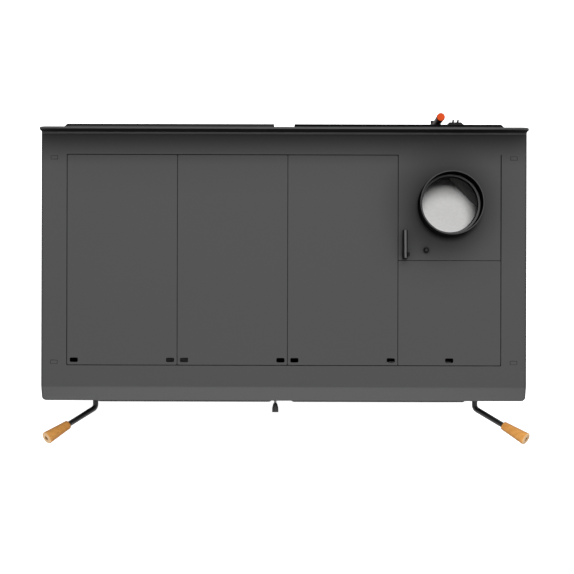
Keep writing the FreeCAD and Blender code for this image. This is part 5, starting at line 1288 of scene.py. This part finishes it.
class STOVE_OT_casing(PieceOperator, bpy.types.Operator):
    """Builds the casing panels, legs, heat shields and their screws"""
    bl_idname = "stove.casing"
    bl_label = "Casing and legs"

    def build(self):
        for node in ("left_side_panel", "right_side_panel", "back_panel", "bottom_panel"):
            block_piece(node + "_sheet", node, "stove_body", "casing_black", 0.0009)
        soft_copy("front_panel", 0.0008)
        soft_copy("legs", 0.0012)
        self.shields()
        self.screws()

    def fixings(self, side):
        """The places in X and Z of the screws and spacers of one shield."""
        s = sizes()
        low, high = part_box("rear_heat_shields")
        return [(side * x, z) for x in (s.shield_gap / 2 + s.spacer_inset, high.x - s.spacer_inset)
                for z in (low.z + s.spacer_inset, high.z - s.spacer_inset)]

    def shields(self):
        s = sizes()
        low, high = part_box("rear_heat_shields")
        inner, bend = s.shield_gap / 2, high.x - s.shield_bevel
        front, end = high.y - s.shield_sheet, high.y - s.shield_bevel
        along, aside = s.shield_sheet * math.tan(math.pi / 8), s.shield_sheet * math.sqrt(0.5)
        plan = ((inner, front), (inner, high.y), (bend, high.y), (high.x, end), (high.x - aside, end - aside),
                (bend - along, front))
        bm = bmesh.new()
        for side in (-1, 1):
            foot = bm.faces.new([bm.verts.new((side * x, y, low.z)) for x, y in plan])
            thicken(bm, [foot], (0, 0, high.z - low.z))
            ends = sorted((side * inner, side * (bend - along)))
            add_block(bm, (ends[0], front - s.shield_flange, high.z - s.shield_sheet),
                      (ends[1], front, high.z))
            for x, z in self.fixings(side):
                add_turned(bm, solid_bar(s.spacer, 0, front - low.y), (x, low.y, z), BACK, 40)
        settle("shield_sheets", bm, "stove_body", "casing_black", ("rear_heat_shields",), soft=0.0005)

    def screws(self):
        """Domed screws in both sides of the casing and in the shields."""
        s = sizes()
        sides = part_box("right_side_panel")[1]
        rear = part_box("rear_heat_shields")[1].y
        dome = [(0, -0.006), (0.0025, -0.006), (0.0025, 0), (0.006, 0), (0.0058, 0.0013), (0.0048, 0.0026),
                (0.0032, 0.0034), (0.0024, 0.0035), (0.0020, 0.0018), (0, 0.0018)]
        bm = bmesh.new()
        for side in (-1, 1):
            for step in (-1, 0, 1):
                place = (side * sides.x, step * s.screw_pitch, sides.z - s.screw_from_top)
                add_turned(bm, dome, place, RIGHT * side, 28)
            for x, z in self.fixings(side):
                add_turned(bm, dome, (x, rear, z), BACK, 28)
        settle("domed_screws", bm, "stove_body", "rod_black", ("casing_screws",), soft=0)


class STOVE_OT_tools(PieceOperator, bpy.types.Operator):
    """Builds the plate lifter and the bracket that holds it"""
    bl_idname = "stove.tools"
    bl_label = "Plate lifter"

    def build(self):
        low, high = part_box("lifter_grip")
        middle = middle_of("lifter_grip")
        radius = (high.x - low.x) / 2
        tall = high.z - low.z
        bore, bore_shown = 0.0041, 0.001
        profile = [(bore, bore_shown), (bore, 0), (radius - 0.002, 0), (radius - 0.0004, 0.0015),
                   (radius - 0.0008, 0.02), (radius - 0.0011, tall * 0.5), (radius - 0.0006, tall * 0.8),
                   (radius, tall - 0.006), (radius - 0.0002, tall - 0.0020), (radius - 0.0013, tall - 0.0004),
                   (radius * 0.6, tall), (0, tall)]
        turned_piece("lifter_dipped_grip", "plate_lifter", "red_grip", ("lifter_grip",), profile,
                     (middle.x, middle.y, low.z), UP, 56, soft=0.0006)
        soft_copy("lifter_rod", 0.0007)
        soft_copy("tool_holder", 0.0005)


class STOVE_OT_firebox(PieceOperator, bpy.types.Operator):
    """Builds the firebricks, the grate and the latch cams behind the doors"""
    bl_idname = "stove.firebox"
    bl_label = "Firebox and latches"

    def build(self):
        soft_copy("firebricks", 0.0025, segments=3)
        soft_copy("grate", 0.0016, segments=3)
        soft_copy("firebox_latch_cam", 0.0008)
        soft_copy("oven_latch_cam", 0.0008)


class STOVE_OT_finishes(PieceOperator, bpy.types.Operator):
    """Gives every CAD node that stays in view its finish"""
    bl_idname = "stove.finishes"
    bl_label = "Finishes of the frame"

    def build(self):
        for row in frame["record"]["subparts"]:
            node = frame["nodes"][row["node"]]
            if node.hide_render:
                continue
            for place in node.material_slots:
                place.material = finish_for(SOOTED.get(row["node"], row["material_slot"]))


class STOVE_OT_stage(PieceOperator, bpy.types.Operator):
    """Builds the floor, the light and the camera"""
    bl_idname = "stove.stage"
    bl_label = "Stage"

    def build(self):
        stage = bpy.context.scene.stove_stage
        self.floor(stage)
        self.surround(stage)
        overhead = self.lamp("overhead_softbox", (0.15, 0.95, 8.0), 1.6, 1.6, stage.overhead, (0.1, 0, 0.85))
        overhead.visible_glossy = False
        self.lamp("rear_softbox", (1.62, 4.14, 5.8), 5.0, 4.0, stage.rear, (0, 0, 0.85))
        sheen = self.lamp("front_softbox", (0, -3.6, 4.0), 3.2, 1.2, stage.front, (0, -0.3, 0.85))
        sheen.visible_diffuse = False
        fill = self.lamp("front_fill", (-1.1, -4.2, 0.9), 3.0, 1.0, stage.fill, (0, -0.3, 0.5))
        fill.visible_glossy = False
        fill.visible_camera = False
        self.camera(stage)
        bpy.context.scene.view_settings.view_transform = "Standard"

    def floor(self, stage):
        bm = bmesh.new()
        bmesh.ops.create_grid(bm, x_segments=1, y_segments=1, size=14.0)
        mesh = bpy.data.meshes.new("studio_floor")
        bm.to_mesh(mesh)
        bm.free()
        floor = bpy.data.objects.new("studio_floor", mesh)
        bpy.context.scene.collection.objects.link(floor)
        finish = Finish("studio_floor", stage.floor, 0.9, shine=0.1)
        finish.set(finish.surface, "Emission Color", (1, 1, 1, 1))
        finish.feed(finish.surface, "Emission Strength", self.seen(finish.tree, 0.0, stage.backdrop))
        mesh.materials.append(finish.material)

    def seen(self, tree, unseen, shown):
        """A strength for rays that show the background, and another for rays that light the object."""
        path = tree.nodes.new("ShaderNodeLightPath")
        total = path.outputs["Is Camera Ray"]
        for name in ("Is Glossy Ray", "Is Transmission Ray"):
            either = tree.nodes.new("ShaderNodeMath")
            either.operation = "MAXIMUM"
            tree.links.new(total, either.inputs[0])
            tree.links.new(path.outputs[name], either.inputs[1])
            total = either.outputs[0]
        span = tree.nodes.new("ShaderNodeMapRange")
        tree.links.new(total, span.inputs["Value"])
        span.inputs["To Min"].default_value = unseen
        span.inputs["To Max"].default_value = shown
        return span.outputs["Result"]

    def surround(self, stage):
        world = bpy.data.worlds.new("studio_surround")
        world.use_nodes = True
        background = world.node_tree.nodes["Background"]
        background.inputs["Color"].default_value = (1, 1, 1, 1)
        world.node_tree.links.new(self.seen(world.node_tree, stage.sky, 1.0), background.inputs["Strength"])
        bpy.context.scene.world = world

    def lamp(self, name, place, wide, deep, power, target):
        """A lamp with an oblong face that looks at a target."""
        data = bpy.data.lights.new(name, "AREA")
        data.shape = "RECTANGLE"
        data.size = wide
        data.size_y = deep
        data.energy = power
        lamp = bpy.data.objects.new(name, data)
        lamp.location = place
        lamp.rotation_euler = (Vector(target) - Vector(place)).to_track_quat("-Z", "Y").to_euler()
        bpy.context.scene.collection.objects.link(lamp)
        return lamp

    def camera(self, stage):
        data = bpy.data.cameras.new("photo_camera")
        data.sensor_width = 36.0
        data.lens = stage.lens
        data.shift_x = stage.shift_x
        data.shift_y = stage.shift_y
        data.clip_end = 50.0
        camera = bpy.data.objects.new("photo_camera", data)
        camera.location = (stage.camera_x, stage.camera_y, stage.camera_height)
        camera.rotation_euler = (0, 0, stage.roll)
        bpy.context.scene.collection.objects.link(camera)
        bpy.context.scene.camera = camera


OPERATORS = (
    STOVE_OT_top_sheet,
    STOVE_OT_cook_plates,
    STOVE_OT_flue,
    STOVE_OT_damper,
    STOVE_OT_handles,
    STOVE_OT_knobs,
    STOVE_OT_doors,
    STOVE_OT_lower_fronts,
    STOVE_OT_thermometer,
    STOVE_OT_casing,
    STOVE_OT_tools,
    STOVE_OT_firebox,
    STOVE_OT_finishes,
    STOVE_OT_stage,
)


class STOVE_PT_pieces(bpy.types.Panel):
    """Lists the sizes, the colours and the pieces of the stove"""
    bl_idname = "STOVE_PT_pieces"
    bl_label = "Wood cook stove"
    bl_space_type = "VIEW_3D"
    bl_region_type = "UI"
    bl_category = "Stove"

    def draw(self, context):
        layout = self.layout
        for group in (context.scene.stove_sizes, context.scene.stove_colours, context.scene.stove_stage):
            box = layout.box()
            for name in group.__annotations__:
                box.prop(group, name)
        for operator in OPERATORS:
            layout.operator(operator.bl_idname)


CLASSES = (StoveSizes, StoveColours, StoveStage, *OPERATORS, STOVE_PT_pieces)


def register():
    for item in CLASSES:
        bpy.utils.register_class(item)
    bpy.types.Scene.stove_sizes = PointerProperty(type=StoveSizes)
    bpy.types.Scene.stove_colours = PointerProperty(type=StoveColours)
    bpy.types.Scene.stove_stage = PointerProperty(type=StoveStage)


def unregister():
    del bpy.types.Scene.stove_stage
    del bpy.types.Scene.stove_colours
    del bpy.types.Scene.stove_sizes
    for item in reversed(CLASSES):
        bpy.utils.unregister_class(item)


def main():
    register()
    bpy.ops.stove.top_sheet()
    bpy.ops.stove.cook_plates()
    bpy.ops.stove.flue()
    bpy.ops.stove.damper()
    bpy.ops.stove.handles()
    bpy.ops.stove.knobs()
    bpy.ops.stove.doors()
    bpy.ops.stove.lower_fronts()
    bpy.ops.stove.thermometer()
    bpy.ops.stove.casing()
    bpy.ops.stove.tools()
    bpy.ops.stove.firebox()
    bpy.ops.stove.finishes()
    bpy.ops.stove.stage()


if __name__ == "__main__":
    main()
